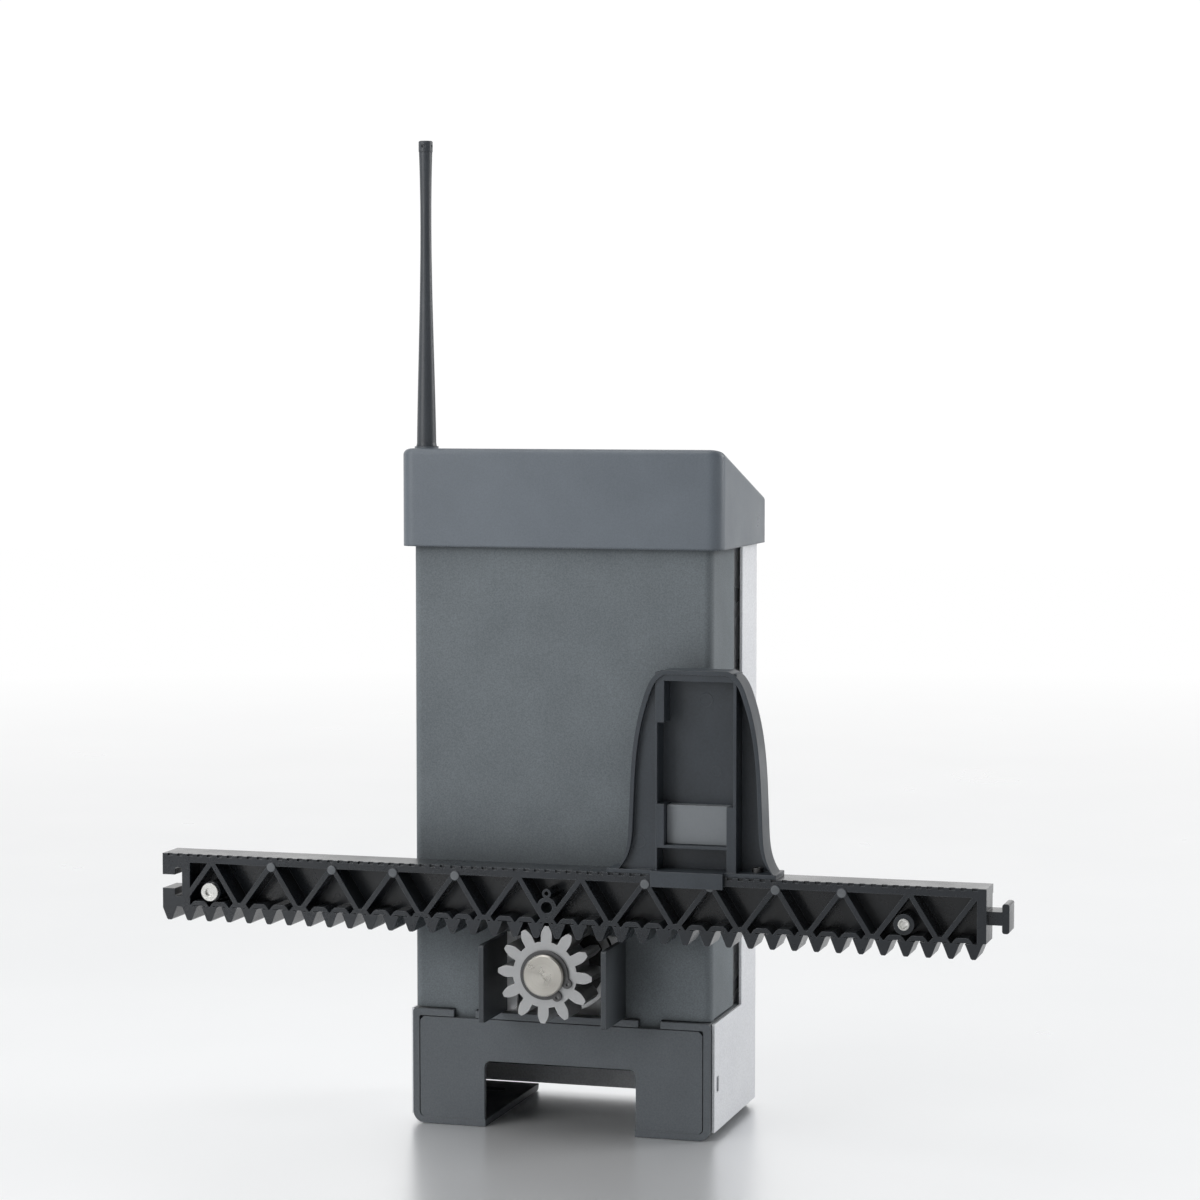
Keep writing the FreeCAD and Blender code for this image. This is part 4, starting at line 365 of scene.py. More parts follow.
def lanes_of_cells(finish, first, second, mortar, scale, *shape):
    """Brick pattern on a face that looks to the street, over X and Z."""
    parts = add(finish.tree, "ShaderNodeSeparateXYZ", finish.at).outputs
    flat = add(finish.tree, "ShaderNodeCombineXYZ", parts["X"], parts["Z"]).outputs[0]
    colours = [(*colour, 1) for colour in (first, second, mortar)]
    return flat, add(finish.tree, "ShaderNodeTexBrick", flat, *colours, scale, *shape)


def solder_masked_board(name):
    """Green board with darker copper tracks under the mask, and rows of tinned pads."""
    finish = Finish(name, 0.32, coat=0.4, coat_roughness=0.15)
    tree = finish.tree
    flat, tracks = lanes_of_cells(finish, (0.030, 0.16, 0.065), (0.018, 0.11, 0.045), (0.06, 0.26, 0.10),
                                  55.0, 0.035, 0.1, 0.0, 0.6, 0.18)
    drilled = add(tree, "ShaderNodeTexVoronoi", flat, None, 230.0)
    pad = remap(tree, drilled.outputs["Distance"], 0.10, 0.16, 1.0, 0.0)
    crowded = remap(tree, finish.noise(40.0, 2.0), 0.52, 0.58, 0.0, 1.0)
    pads = math_node(tree, "MULTIPLY", pad, crowded)
    finish.colour(mixed(tree, pads, tracks.outputs["Color"], (0.62, 0.63, 0.6, 1)))
    finish.rough(remap(tree, finish.noise(30.0, 4.0), 0.3, 0.7, 0.25, 0.45))
    finish.bump(tracks.outputs["Fac"], 0.3, 0.00005)
    return finish.material


def display_glass():
    """Liquid-crystal window at rest: grey-green, with the faint grid of its cells."""
    finish = Finish("display window", 0.12, coat=1.0, coat_roughness=0.03)
    cells = lanes_of_cells(finish, (0.115, 0.15, 0.105), (0.105, 0.14, 0.098), (0.17, 0.21, 0.155),
                           280.0, 0.06, 0.1, 0.0, 0.9, 1.25)[1]
    cells.offset = 0.0
    finish.colour(cells.outputs["Color"])
    return finish.material


def woven_strap(name):
    """Flat woven webbing, in over-and-under ribs."""
    finish = Finish(name, 0.85)
    tree = finish.tree
    threads = []
    for turn in (math.radians(45), math.radians(-45)):
        wave = add(tree, "ShaderNodeTexWave", finish.placed(turn=(0, 0, turn)), 260.0)
        threads.append(wave.outputs["Fac"])
    weave = math_node(tree, "MAXIMUM", *threads)
    finish.colour(mixed(tree, weave, (0.012, 0.012, 0.014, 1), (0.055, 0.055, 0.06, 1)))
    finish.rough(remap(tree, weave, 0.0, 1.0, 0.95, 0.75))
    finish.bump(weave, 0.8, 0.0003)
    return finish.material


def wound_wire(name, tone, other):
    """Enamelled copper wire."""
    finish = Finish(name, 0.3, metallic=0.85, coat=0.6, coat_roughness=0.12)
    drift = finish.noise(120.0, 3.0)
    finish.colour(mixed(finish.tree, drift, (*tone, 1), (*other, 1)))
    finish.rough(remap(finish.tree, drift, 0.3, 0.7, 0.24, 0.39))
    finish.bump(finish.noise(900.0, 2.0), 0.2, 0.00003)
    return finish.material


shaft_low, shaft_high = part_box("output_shaft")
SHAFT_CENTRE = ((shaft_low.x + shaft_high.x) / 2, 0.0, (shaft_low.z + shaft_high.z) / 2)
lock_low, lock_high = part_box("lock_bezel")
LOCK_CENTRE = ((lock_low.x + lock_high.x) / 2, 0.0, (lock_low.z + lock_high.z) / 2)

FINISHES = {
    # Painted shade: the housing is darkened in its corners and recesses.
    "housing_plastic": moulded_plastic(
        "textured grey housing", (0.129, 0.149, 0.163), (0.153, 0.176, 0.191), 0.68, (0.21, 0.23, 0.25),
        grain=0.75, depth=0.00010, strength=0.75, dust=0.1, corner_shade=0.9, speckle=0.18),
    "base_paint": moulded_plastic(
        "powder coated base", (0.086, 0.098, 0.110), (0.100, 0.113, 0.126), 0.42, (0.16, 0.17, 0.18),
        grain=0.9, depth=0.00007, dust=0.15, smudge=0.2, speckle=0.12),
    # Painted shade: the cap's edge colour is far darker than its body and spread over a wide band, to draw
    # the shade on its rounded edges.
    "cap_plastic": moulded_plastic(
        "satin blue-grey cap", (0.120, 0.141, 0.165), (0.136, 0.159, 0.185), 0.33, (0.020, 0.026, 0.034),
        grain=0.7, depth=0.00005, edge_width=0.0022, dust=0.12, speckle=0.07),
    "cover_shell": moulded_plastic(
        "pale painted cover", (0.74, 0.755, 0.79), (0.79, 0.805, 0.835), 0.34, (0.8, 0.8, 0.8),
        grain=1.1, depth=0.00005, dust=0.05, smudge=0.15),
    "galvanised_steel": galvanised("galvanised sheet", (0.62, 0.635, 0.65), (0.78, 0.79, 0.80), 0.32),
    # Painted highlight: the rack's edge colour is far paler than its near-black body, to draw glints along
    # its edges and ribs.
    "rack_plastic": moulded_plastic(
        "near-black rack nylon", (0.009, 0.012, 0.016), (0.015, 0.019, 0.025), 0.27, (0.20, 0.22, 0.24),
        grain=1.4, depth=0.00004, edge_width=0.0004, dust=0.1, coat=0.12, coat_rough=0.10, smudge=0.2),
    "bracket_plastic": moulded_plastic(
        "near-black bracket plastic", (0.025, 0.032, 0.041), (0.036, 0.045, 0.056), 0.42,
        (0.075, 0.083, 0.092), grain=1.2, depth=0.00004, edge_width=0.0007, dust=0.05, coat=0.1, smudge=0.25),
    "magnet_ferrite": plain_metal(
        "ferrite magnet", (0.175, 0.190, 0.205), (0.215, 0.232, 0.248), 0.50, 500.0, (0.3, 0.3, 0.3),
        metallic=0.2),
    "sintered_steel": plain_metal(
        "sintered steel pinion", (0.37, 0.375, 0.38), (0.46, 0.465, 0.47), 0.42, 900.0, (0.8, 0.8, 0.8),
        depth=0.00004, metallic=0.85),
    "ground_steel": turned_metal(
        "turned steel shaft", (0.42, 0.405, 0.37), (0.53, 0.515, 0.475), 0.30, SHAFT_CENTRE),
    "spring_steel": plain_metal(
        "phosphated spring steel", (0.085, 0.085, 0.088), (0.12, 0.12, 0.12), 0.42, 600.0, (0.3, 0.3, 0.3)),
    "cast_aluminium": plain_metal(
        "cast aluminium", (0.46, 0.465, 0.47), (0.55, 0.555, 0.56), 0.48, 260.0, (0.75, 0.75, 0.75),
        depth=0.00010),
    "bronze": turned_metal(
        "turned bronze", (0.60, 0.36, 0.13), (0.72, 0.47, 0.20), 0.32, SHAFT_CENTRE, 0.0007),
    "bearing_steel": turned_metal(
        "ground bearing steel", (0.62, 0.63, 0.64), (0.74, 0.75, 0.76), 0.22, SHAFT_CENTRE),
    "seal_rubber": moulded_plastic(
        "black nitrile", (0.014, 0.014, 0.015), (0.022, 0.022, 0.023), 0.62, (0.05, 0.05, 0.05), dust=0.3),
    "antenna_plastic": moulded_plastic(
        "satin aerial sleeve", (0.036, 0.042, 0.050), (0.046, 0.053, 0.062), 0.40, (0.12, 0.13, 0.14),
        grain=1.0, dust=0.05),
    "zinc_screw": plain_metal(
        "zinc plated screws", (0.60, 0.60, 0.58), (0.74, 0.74, 0.71), 0.26, 900.0, (0.9, 0.9, 0.88)),
    "motor_steel": moulded_plastic(
        "black enamelled can", (0.022, 0.022, 0.024), (0.032, 0.032, 0.035), 0.28, (0.25, 0.25, 0.25),
        grain=1.6, depth=0.00003, coat=0.4),
    "laminated_steel": laminations(
        "stacked laminations", (0.32, 0.32, 0.33), (0.05, 0.05, 0.05), 0.0010, 0.45),
    "copper": wound_wire("enamelled copper", (0.55, 0.22, 0.09), (0.70, 0.32, 0.14)),
    "board_laminate": solder_masked_board("solder masked board"),
    "component_plastic": moulded_plastic(
        "black component bodies", (0.020, 0.020, 0.023), (0.030, 0.030, 0.034), 0.45, (0.09, 0.09, 0.10),
        dust=0.1),
    "terminal_plastic": moulded_plastic(
        "green terminal plastic", (0.030, 0.19, 0.065), (0.045, 0.24, 0.085), 0.42, (0.10, 0.36, 0.16),
        dust=0.1),
    "display_plastic": moulded_plastic(
        "display frame", (0.030, 0.034, 0.040), (0.040, 0.045, 0.052), 0.25, (0.1, 0.1, 0.12),
        dust=0.05, coat=0.5),
    "key_plastic": moulded_plastic(
        "pale key caps", (0.50, 0.51, 0.52), (0.58, 0.59, 0.60), 0.45, (0.7, 0.7, 0.7), dust=0.15),
    "battery_plastic": moulded_plastic(
        "black battery case", (0.025, 0.025, 0.028), (0.035, 0.035, 0.039), 0.42, (0.09, 0.09, 0.10),
        grain=1.0, dust=0.35),
    "strap_fabric": woven_strap("black webbing"),
    "lever_plastic": moulded_plastic(
        "red lever", (0.42, 0.030, 0.020), (0.50, 0.045, 0.028), 0.38, (0.66, 0.16, 0.11),
        dust=0.1, coat=0.2),
    "lock_chrome": turned_metal(
        "plated lock", (0.72, 0.72, 0.73), (0.82, 0.82, 0.83), 0.14, LOCK_CENTRE, 0.0006, strength=0.2),
    "gland_plastic": moulded_plastic(
        "black nylon gland", (0.020, 0.020, 0.022), (0.028, 0.028, 0.031), 0.4, (0.08, 0.08, 0.09), dust=0.2),
    "carbon_brush": moulded_plastic(
        "carbon and holder", (0.022, 0.022, 0.022), (0.032, 0.032, 0.032), 0.6, (0.08, 0.08, 0.08), dust=0.2),
}
# Painted shade: the guards are the housing plastic made much darker, to draw the shade they stand in, with
# painted shade in their corners. Their pale edge colour is a painted highlight along their front edges.
SHADED_GUARD_FINISH = moulded_plastic(
    "guard plastic with painted shade and edge highlight", (0.040, 0.047, 0.054), (0.050, 0.058, 0.066), 0.5, (0.21, 0.23, 0.25),
    dust=0.1, corner_shade=0.9, speckle=0.18)
STUD_FINISH = moulded_plastic(
    "lighter rack nylon on stud faces", (0.10, 0.11, 0.12), (0.13, 0.14, 0.15), 0.4, (0.2, 0.22, 0.24), grain=1.4, dust=0.1)

for part in frame["record"]["subparts"]:
    piece = nodes[part["node"]]
    piece.data.materials.clear()
    piece.data.materials.append(FINISHES[part["material_slot"]])
# The guards take the darkened copy of the housing plastic, painted shade.
nodes["pinion_guards"].data.materials[0] = SHADED_GUARD_FINISH


# ---------------------------------------------------------------- repeated pieces, by Geometry Nodes
def geometry_group(name, inputs):
    """An empty geometry group: a mesh and named values in, a mesh out."""
    group = bpy.data.node_groups.new(name, "GeometryNodeTree")
    for label, kind, default in (("Geometry", "Geometry", None), *inputs, ("Finish", "Material", None)):
        socket = group.interface.new_socket(label, in_out="INPUT", socket_type="NodeSocket" + kind)
        if default is not None:
            socket.default_value = default
    group.interface.new_socket("Geometry", in_out="OUTPUT", socket_type="NodeSocketGeometry")
    return group, group.nodes.new("NodeGroupInput").outputs, group.nodes.new("NodeGroupOutput").inputs


def place_copies(group, given, out, points, rotation=None):
    """Put the incoming mesh on each point, make the copies real and give them the finish."""
    placed = add(group, "GeometryNodeInstanceOnPoints", points)
    feed(group, placed.inputs["Instance"], given["Geometry"])
    feed(group, placed.inputs["Rotation"], rotation)
    real = add(group, "GeometryNodeRealizeInstances", placed.outputs[0])
    coloured = add(group, "GeometryNodeSetMaterial", real.outputs[0])
    feed(group, coloured.inputs["Material"], given["Finish"])
    feed(group, out["Geometry"], coloured.outputs[0])


def about_z(group, angle):
    """A rotation about Z by an angle socket in radians."""
    return add(group, "ShaderNodeCombineXYZ", 0.0, 0.0, angle).outputs[0]


def make_row_group():
    """Copies in a straight row, the first at the origin."""
    group, given, out = geometry_group("row of copies", [("Count", "Int", 2), ("Step", "Vector", None)])
    line = add(group, "GeometryNodeMeshLine", mode="OFFSET")
    feed(group, line.inputs["Count"], given["Count"])
    feed(group, line.inputs["Offset"], given["Step"])
    place_copies(group, given, out, line.outputs[0])
    return group


def make_circle_group():
    """Copies round the Z axis, each turned to face outwards."""
    group, given, out = geometry_group("circle of copies", [("Count", "Int", 8), ("Radius", "Float", 0.01)])
    circle = add(group, "GeometryNodeMeshCircle")
    feed(group, circle.inputs["Vertices"], given["Count"])
    feed(group, circle.inputs["Radius"], given["Radius"])
    index = add(group, "GeometryNodeInputIndex").outputs[0]
    share = math_node(group, "DIVIDE", index, given["Count"])
    turn = math_node(group, "MULTIPLY", share, 2 * math.pi)
    place_copies(group, given, out, circle.outputs[0], about_z(group, turn))
    return group


def make_scatter_group():
    """Copies strewn over a flat field, along it or across it, no two nearer than the spacing."""
    group, given, out = geometry_group(
        "strewn copies",
        [("Width", "Float", 0.02), ("Depth", "Float", 0.02), ("Spacing", "Float", 0.003), ("Seed", "Int", 1)])
    field = add(group, "GeometryNodeMeshGrid", given["Width"], given["Depth"], 2, 2)
    spots = add(group, "GeometryNodeDistributePointsOnFaces", field.outputs[0], distribute_method="POISSON")
    for key, value in (("Distance Min", given["Spacing"]), ("Density Max", 60000.0), ("Seed", given["Seed"])):
        feed(group, spots.inputs[key], value)
    across = add(group, "FunctionNodeRandomValue", data_type="INT")
    draw = {"Min": 0, "Max": 1, "Seed": given["Seed"]}
    for socket in across.inputs:
        if socket.enabled and socket.name in draw:
            feed(group, socket, draw[socket.name])
    drawn = [socket for socket in across.outputs if socket.enabled][0]
    turn = math_node(group, "MULTIPLY", drawn, math.pi / 2)
    place_copies(group, given, out, spots.outputs[0], about_z(group, turn))
    return group


ROW, CIRCLE, SCATTER = make_row_group(), make_circle_group(), make_scatter_group()
FACING_STREET = Matrix.Rotation(math.radians(-90), 4, "X")   # a piece's +Z to the street, +Y
FACING_GATE = Matrix.Rotation(math.radians(90), 4, "X")      # a piece's +Z to the gate, -Y


def shown(name, mesh, body, slot):
    """Link a finished mesh as a piece of the object that rides on a body."""
    if not mesh.materials:
        mesh.materials.append(FINISHES[slot])
    piece = bpy.data.objects.new(name, mesh)
    bpy.context.scene.collection.objects.link(piece)
    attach(piece, body)


def copies(name, seed, group, place, body, slot, finish=None, **values):
    """Run a geometry group on a small mesh, and show the result at a place in metres.

    The finish is the slot's own, unless another is given. Values are the group's named inputs.
    """
    holder = bpy.data.objects.new("seed", seed)
    bpy.context.scene.collection.objects.link(holder)
    modifier = holder.modifiers.new("copies", "NODES")
    modifier.node_group = group
    values["Finish"] = finish or FINISHES[slot]
    for item in group.interface.items_tree:
        if item.in_out == "INPUT" and item.name in values:
            modifier[item.identifier] = values[item.name]
    graph = bpy.context.evaluated_depsgraph_get()
    mesh = bpy.data.meshes.new_from_object(holder.evaluated_get(graph))
    bpy.data.objects.remove(holder)
    shown(name, moved(mesh, place), body, slot)


def to_mesh(bm, name):
    """The finished mesh, with its faces turned outwards."""
    mesh = bpy.data.meshes.new(name)
    bmesh.ops.recalc_face_normals(bm, faces=bm.faces)
    bm.to_mesh(mesh)
    bm.free()
    return mesh


def block(width, depth, height, soft, lift=0.0):
    """A box with softened edges, standing on the XY plane. Sizes in mm."""
    bm = bmesh.new()
    size = Matrix.Diagonal((width * MM, depth * MM, height * MM, 1))
    bmesh.ops.create_cube(bm, size=1.0, matrix=at(0, 0, (lift + height / 2) * MM) @ size)
    bmesh.ops.bevel(bm, geom=bm.edges, offset=soft * MM, segments=2, affect="EDGES", profile=0.5)
    return to_mesh(bm, "block")


def lathe(profile, steps):
    """Turn (radius, height) points in mm about Z. The first and last radius may be 0."""
    bm = bmesh.new()
    corners = [bm.verts.new((r * MM, 0, z * MM)) for r, z in profile]
    edges = [bm.edges.new(pair) for pair in zip(corners, corners[1:])]
    bmesh.ops.spin(bm, geom=corners + edges, cent=(0, 0, 0), axis=(0, 0, 1), angle=2 * math.pi, steps=steps,
                   use_merge=True)
    bmesh.ops.remove_doubles(bm, verts=bm.verts, dist=1e-7)
    mesh = to_mesh(bm, "turned")
    for face in mesh.polygons:
        face.use_smooth = len(profile) > 6
    return mesh


def slotted_head(radius, height, slot):
    """A screw head: a low disc with two raised halves that leave a slot between them. Sizes in mm."""
    bm = bmesh.new()
    bmesh.ops.create_cone(bm, cap_ends=True, segments=24, radius1=radius * MM, radius2=radius * MM,
                          depth=height * 0.5 * MM, matrix=at(0, 0, height * 0.25 * MM))
    arc = [(math.cos(a), math.sin(a)) for a in [math.pi * i / 12 for i in range(13)]]
    for side in (-1, 1):
        rim = [(x * radius * 0.96, side * max(y * radius * 0.96, slot / 2)) for x, y in arc]
        low = [bm.verts.new((x * MM, y * MM, height * 0.4 * MM)) for x, y in rim]
        high = [bm.verts.new((x * 0.93 * MM, y * 0.96 * MM, height * MM)) for x, y in rim]
        bm.faces.new(high)
        for i in range(len(rim)):
            j = (i + 1) % len(rim)
            bm.faces.new((low[i], low[j], high[j], high[i]))
    return to_mesh(bm, "slotted head")


def rounded_rectangle(half_x, half_y, corner, steps):
    """Points (x, y, facing) in mm round a rectangle, with each corner in a number of steps."""
    path = []
    for side_x, side_y, start in ((1, 1, 0), (-1, 1, 90), (-1, -1, 180), (1, -1, 270)):
        for i in range(steps + 1):
            facing = math.radians(start + i * 90 / steps)
            path.append((side_x * (half_x - corner) + corner * math.cos(facing),
                         side_y * (half_y - corner) + corner * math.sin(facing), facing))
    return path


def skin(bm, rings, smooth):
    """Join closed rings of corners, the last to the first."""
    for ring, after in zip(rings, rings[1:] + rings[:1]):
        for i in range(len(ring)):
            j = (i + 1) % len(ring)
            bm.faces.new((ring[i], ring[j], after[j], after[i])).smooth = smooth


def wire_loop(half_x, half_y, corner, wire_r):
    """One turn of wire round a rounded rectangle, centred on the origin. Sizes in mm."""
    bm = bmesh.new()
    rings = []
    for x, y, facing in rounded_rectangle(half_x, half_y, corner, 4):
        ring = []
        for j in range(6):
            round_wire = math.radians(60 * j)
            out = wire_r * math.cos(round_wire)
            ring.append(bm.verts.new(((x + out * math.cos(facing)) * MM, (y + out * math.sin(facing)) * MM,
                                      wire_r * math.sin(round_wire) * MM)))
        rings.append(ring)
    skin(bm, rings, smooth=True)
    return to_mesh(bm, "wire turn")


def tape_band(half_x, half_y, corner, height):
    """A band of tape round a rounded rectangle, open above and below, centred on the origin. Sizes in mm."""
    bm = bmesh.new()
    outline = rounded_rectangle(half_x, half_y, corner, 6)
    rings = []
    for thick, z in ((0.3, -height / 2), (0.0, -height / 2), (0.0, height / 2), (0.3, height / 2)):
        rings.append([bm.verts.new(((x - math.copysign(thick, x)) * MM, (y - math.copysign(thick, y)) * MM,
                                    z * MM)) for x, y, _ in outline])
    skin(bm, rings, smooth=False)
    return to_mesh(bm, "tape")


def at(x, y, z, turn=Matrix.Identity(4)):
    return Matrix.Translation((x, y, z)) @ turn


def moved(mesh, place):
    mesh.transform(place)
    return mesh


# ---------------------------------------------------------------- control board
def dress_terminals():
    """Slotted screws in the terminal blocks."""
    low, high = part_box("terminal_blocks")
    blocks, ways, way = 4, 5, 5 * MM
    step = (high.x - low.x - ways * way) / (blocks - 1)
    head = slotted_head(1.55, 1.2, 0.5)
    for index in range(blocks):
        first = at(low.x + index * step + way / 2, low.y + 6 * MM, low.z + 6 * MM, FACING_STREET)
        copies("terminal_screws_%d" % index, head.copy(), ROW, first, "chassis", "zinc_screw",
               Count=ways, Step=(way, 0, 0))


def dress_controller(low, face):
    """The controller chip, and the legs on its four sides."""
    middle = at(low.x + 82 * MM, face, low.z + 46 * MM)
    chip = block(12, 12, 1.5, 0.25, 0.35)
    shown("board_controller", moved(chip, middle @ FACING_STREET), "chassis", "component_plastic")
    leg = block(0.35, 1.6, 0.7, 0.1)
    first = at(-5 * MM, 0, 6.5 * MM, FACING_STREET)
    for index in range(4):
        side = Matrix.Rotation(math.radians(90 * index), 4, "Y")
        copies("controller_legs_%d" % index, leg.copy(), ROW, middle @ side @ first, "chassis", "zinc_screw",
               Count=11, Step=(1 * MM, 0, 0))


def dress_free_areas(low, face):
    """Small surface-mounted parts, strewn where the board is free."""
    # width, depth, middle across, middle up, all in mm from the board's corner, and seed
    areas = ((14, 34, 65, 46, 3), (34, 10, 26, 49, 5), (50, 6, 90, 89, 7))
    chip = block(2.0, 1.2, 0.7, 0.12)
    for index, (width, depth, x, z, seed) in enumerate(areas):
        middle = at(low.x + x * MM, face, low.z + z * MM, FACING_STREET)
        copies("surface_parts_%d" % index, chip.copy(), SCATTER, middle, "chassis", "component_plastic",
               Width=width * MM, Depth=depth * MM, Spacing=3.4 * MM, Seed=seed)


def dress_board():
    low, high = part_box("control_board")
    face = high.y
    dress_terminals()
    dress_controller(low, face)
    dress_free_areas(low, face)
    can_height, can_pitch = 13.02 * MM, 20 * MM
    can_top = lathe([(0, 0), (7.1, 0), (7.5, 0.25), (7.9, 0.05), (7.9, -0.3)], 40)
    first_can = at(low.x + 18 * MM, face + can_height, low.z + 66 * MM, FACING_STREET)
    copies("capacitor_tops", can_top, ROW, first_can, "chassis", "cast_aluminium",
           Count=2, Step=(can_pitch, 0, 0))
    sink_low, sink_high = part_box("heat_sink")
    first_transistor = at(sink_low.x + 7 * MM, face + 2.5 * MM, sink_high.z + 0.5 * MM)
    copies("power_transistors", block(9.5, 4.2, 13.0, 0.4), ROW, first_transistor, "chassis",
           "component_plastic", Count=3, Step=(11 * MM, 0, 0))
    frame_low, frame_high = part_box("display_module")
    middle = (frame_low + frame_high) / 2
    border_x, border_z, sunk = 9, 11, 0.59 * MM
    glass = block((frame_high.x - frame_low.x) / MM - border_x, (frame_high.z - frame_low.z) / MM - border_z,
                  0.12, 0.05)
    glass.materials.append(display_glass())
    moved(glass, at(middle.x, frame_high.y - sunk, middle.z, FACING_STREET))
    shown("display_glass", glass, "chassis", "display_plastic")


# ---------------------------------------------------------------- power pack and base
def dress_transformer():
    """Turns of wire round the coil, and the tape over their middle."""
    low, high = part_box("transformer_coil")
    middle = (low + high) / 2
    half_x, half_y, _ = (high - low) / 2 / MM
    height = (high.z - low.z) / MM
    wire_r, end_room, tape_proud = 0.5, 2.0, 0.75
    lay = 2.1 * wire_r
    first = at(middle.x, middle.y, low.z + (end_room + wire_r) * MM)
    copies("transformer_turns", wire_loop(half_x, half_y, 2.6, wire_r), ROW, first, "chassis", "copper",
           Count=int((height - 2 * end_room) / lay), Step=(0, 0, lay * MM))
    tape = tape_band(half_x + tape_proud, half_y + tape_proud, 3.2, height * 0.34)
    shown("transformer_tape", moved(tape, at(*middle)), "chassis", "strap_fabric")


def dress_battery():
    """Two rows of three vent caps on the battery's case."""
    low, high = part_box("battery")
    middle = (low + high) / 2
    terminal_height, row_offset, pitch = 8 * MM, 34 * MM, 16 * MM
    vent = lathe([(0, 0.9), (4.0, 0.9), (4.6, 0.55), (5.6, 0.55), (6.0, 0.2), (6.0, 0)], 32)
    for side, name in ((-1, "left"), (1, "right")):
        first = at(middle.x + side * row_offset - pitch, middle.y, high.z - terminal_height)
        copies("battery_vents_" + name, vent.copy(), ROW, first, "chassis", "battery_plastic",
               Count=3, Step=(pitch, 0, 0))


def dress_gland():
    """Grip ribs round the gland's nut."""
    low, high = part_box("cable_gland")
    middle = (low + high) / 2
    rib_height = 3.4
    copies("gland_ribs", block(1.4, 1.1, rib_height, 0.3), CIRCLE,
           at(middle.x, middle.y, high.z - (rib_height + 0.4) * MM), "chassis", "gland_plastic",
           Count=18, Radius=(high.x - low.x) / 2)


# ---------------------------------------------------------------- marks of the moulds on the rack
def dress_bracket():
    """Round ejector marks on the bracket's left wing and in its channel, standing proud by a hair."""
    bracket_height, stud_proud, bracket_inset, wing_depth = 115.5 * MM, 0.6 * MM, 1 * MM, 3.5 * MM
    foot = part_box("magnet_bracket")[1].z - bracket_height
    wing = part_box("rack")[0].y + stud_proud + bracket_inset + wing_depth
    magnet_low, magnet_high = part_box("magnet")
    channel = magnet_high.y
    mark = lathe([(0, 0.06), (3.6, 0.06), (3.8, 0.14), (4.1, 0.14), (4.3, 0)], 40)
    marks = ((magnet_low.x - 15.5 * MM, wing, foot + 18 * MM, 0.95),
             (magnet_high.x - 9 * MM, channel, foot + 58 * MM, 0.70),
             (magnet_high.x - 15 * MM, channel, foot + 98 * MM, 0.95))
    for index, (x, y, z, grow) in enumerate(marks):
        spot = at(x, y - 0.02 * MM, z, FACING_GATE) @ Matrix.Scale(grow, 4)
        shown("ejector_mark_%d" % index, moved(mark.copy(), spot), "rack", "bracket_plastic")


def dress_rack():
    """Lighter faces of the round studs at the upper corners of the rack's lattice, four on each side."""
    low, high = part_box("rack")
    middle = [mount for mount in frame["record"]["mounts"] if mount["name"] == "rack_middle_bore"][0]
    tooth_pitch = 4 * math.pi * MM
    corner_step, lean, below_top = 3 * tooth_pitch, 1.6 * MM, 5.6 * MM
    face = lathe([(0, 0.14), (2.0, 0.14), (2.45, 0.05), (2.5, 0)], 32)
    for side, corner in (("left", -5), ("right", 1)):
        first = middle["pos_m"][0] + (corner + 0.5) * corner_step + lean
        copies("rack_stud_faces_" + side, face.copy(), ROW, at(first, low.y, high.z - below_top, FACING_GATE),
               "rack", "rack_plastic", finish=STUD_FINISH, Count=4, Step=(corner_step, 0, 0))


dress_board()
dress_transformer()
dress_battery()
dress_gland()
dress_bracket()
dress_rack()


# ---------------------------------------------------------------- studio and camera
def area_light(name, place, target, size, power):
    lamp = bpy.data.lights.new(name, "AREA")
    lamp.shape, lamp.size, lamp.size_y, lamp.energy = "RECTANGLE", size, size, power
    holder = bpy.data.objects.new(name, lamp)
    bpy.context.scene.collection.objects.link(holder)
    holder.location = place
    holder.rotation_euler = (Vector(target) - Vector(place)).to_track_quat("-Z", "Y").to_euler()


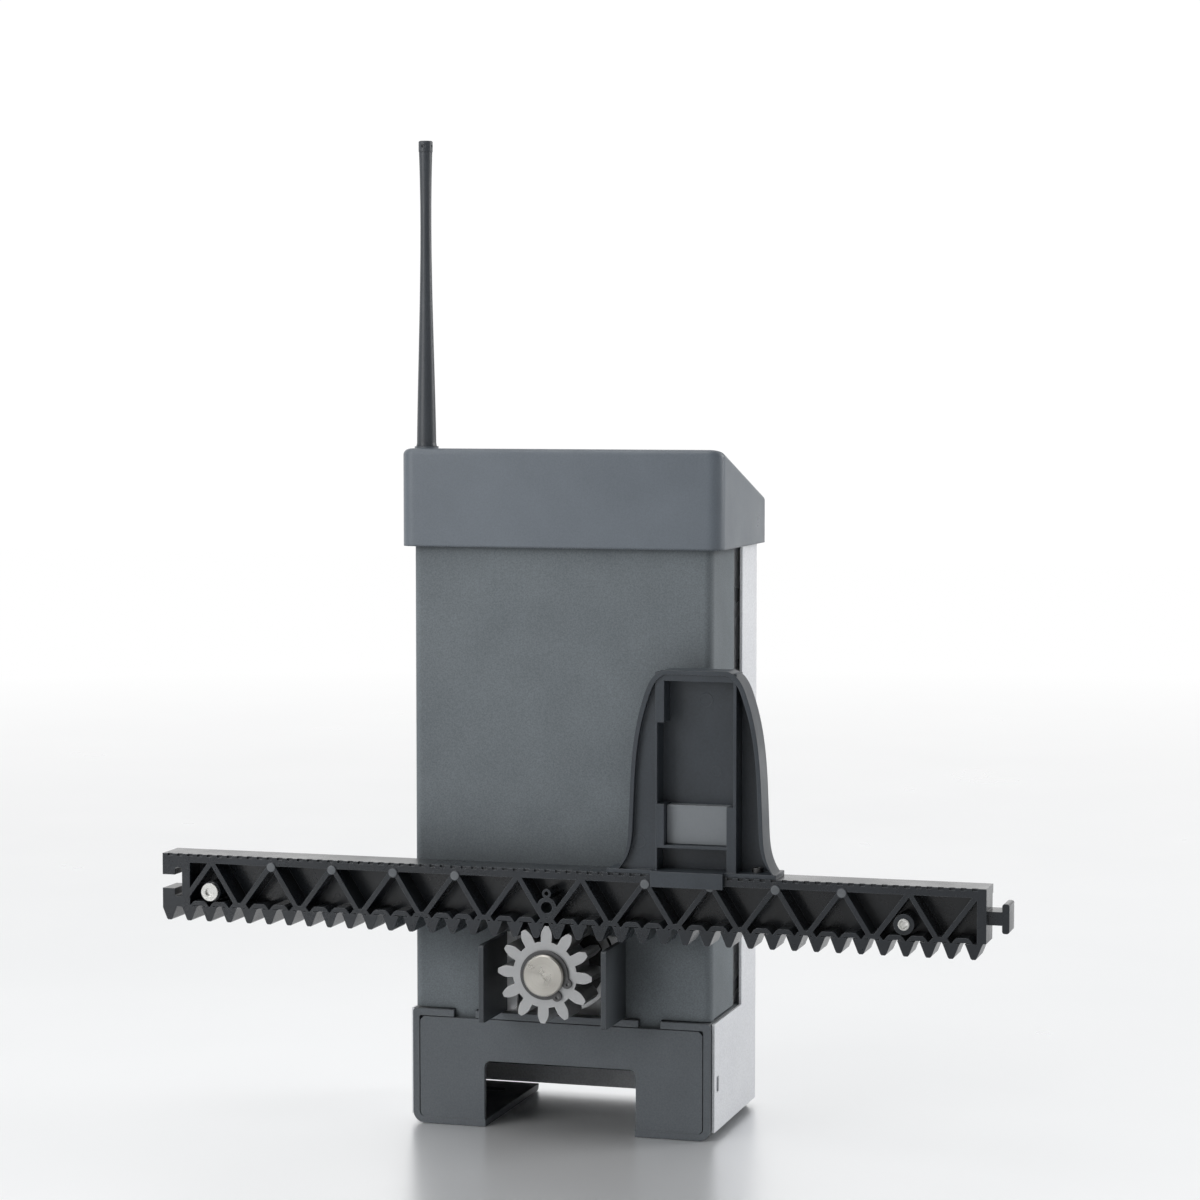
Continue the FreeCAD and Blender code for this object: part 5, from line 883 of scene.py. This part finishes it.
def make_floor():
    """A polished pale floor just under the feet, which turns into the white of the backdrop."""
    half, thick, gap, white_from, white_at = 6.0, 0.02, 0.0002, 0.7, 3.0
    mesh = bpy.data.meshes.new("studio floor")
    bm = bmesh.new()
    size = Matrix.Diagonal((2 * half, 2 * half, thick, 1))
    bmesh.ops.create_cube(bm, size=1.0, matrix=at(0, 0, -thick / 2 - gap) @ size)
    bm.to_mesh(mesh)
    bm.free()
    finish = Finish("polished pale floor", 0.22, metallic=0.55)
    finish.colour(mixed(finish.tree, finish.noise(3.0, 2.0), (0.85, 0.86, 0.87, 1), (0.88, 0.89, 0.90, 1)))
    finish.rough(remap(finish.tree, finish.noise(5.0, 4.0), 0.3, 0.7, 0.27, 0.33))
    distance = add(finish.tree, "ShaderNodeVectorMath", finish.at, operation="LENGTH").outputs["Value"]
    far = remap(finish.tree, distance, white_from, white_at, 0.0, 1.0)
    glow = add(finish.tree, "ShaderNodeEmission", (1, 1, 1, 1), 1.0)
    blend = add(finish.tree, "ShaderNodeMixShader", far, finish.shader.outputs[0], glow.outputs[0])
    output = [node for node in finish.tree.nodes if node.type == "OUTPUT_MATERIAL"][0]
    finish.tree.links.new(blend.outputs[0], output.inputs[0])
    mesh.materials.append(finish.material)
    floor = bpy.data.objects.new("studio_floor", mesh)
    bpy.context.scene.collection.objects.link(floor)


def make_studio():
    """White behind the object from every side, darker light from the front and the right, and three lamps."""
    make_floor()
    world = bpy.data.worlds.new("white studio")
    world.use_nodes = True
    tree = world.node_tree
    way = add(tree, "ShaderNodeSeparateXYZ", add(tree, "ShaderNodeTexCoord").outputs["Generated"]).outputs
    background = tree.nodes["Background"]
    background.inputs["Color"].default_value = (1.0, 1.0, 1.0, 1)
    behind = remap(tree, way["Y"], -0.35, 0.2, 0.33, 1.03)
    beside = remap(tree, way["X"], 0.02, 0.40, 1.0, 0.42)
    lit = math_node(tree, "MULTIPLY", behind, beside)
    backdrop = math_node(tree, "MULTIPLY", add(tree, "ShaderNodeLightPath").outputs["Is Camera Ray"], 1.03)
    feed(tree, background.inputs["Strength"], math_node(tree, "MAXIMUM", lit, backdrop))
    bpy.context.scene.world = world
    middle = (0.0, 0.0, 0.25)
    area_light("right rear softbox", (1.7, 0.95, 0.9), middle, 0.9, 16.0)
    area_light("top softbox", (-0.5, -0.9, 2.2), middle, 1.4, 14.0)
    area_light("front left softbox", (-0.95, -1.25, 0.75), middle, 0.9, 9.0)


def make_camera():
    """A long lens, a little above the rack and to the right of the gate side."""
    lens = bpy.data.cameras.new("camera")
    lens.sensor_width = 36.0
    lens.lens = 97.2
    lens.clip_start, lens.clip_end = 0.05, 50.0
    camera = bpy.data.objects.new("camera", lens)
    bpy.context.scene.collection.objects.link(camera)
    camera.location = (0.5483, -1.8306, 0.4348)
    camera.rotation_euler = (math.radians(90 - 3.83), 0.0, math.radians(16.41))
    bpy.context.scene.camera = camera


make_studio()
make_camera()
bpy.context.scene.view_settings.view_transform = "Standard"
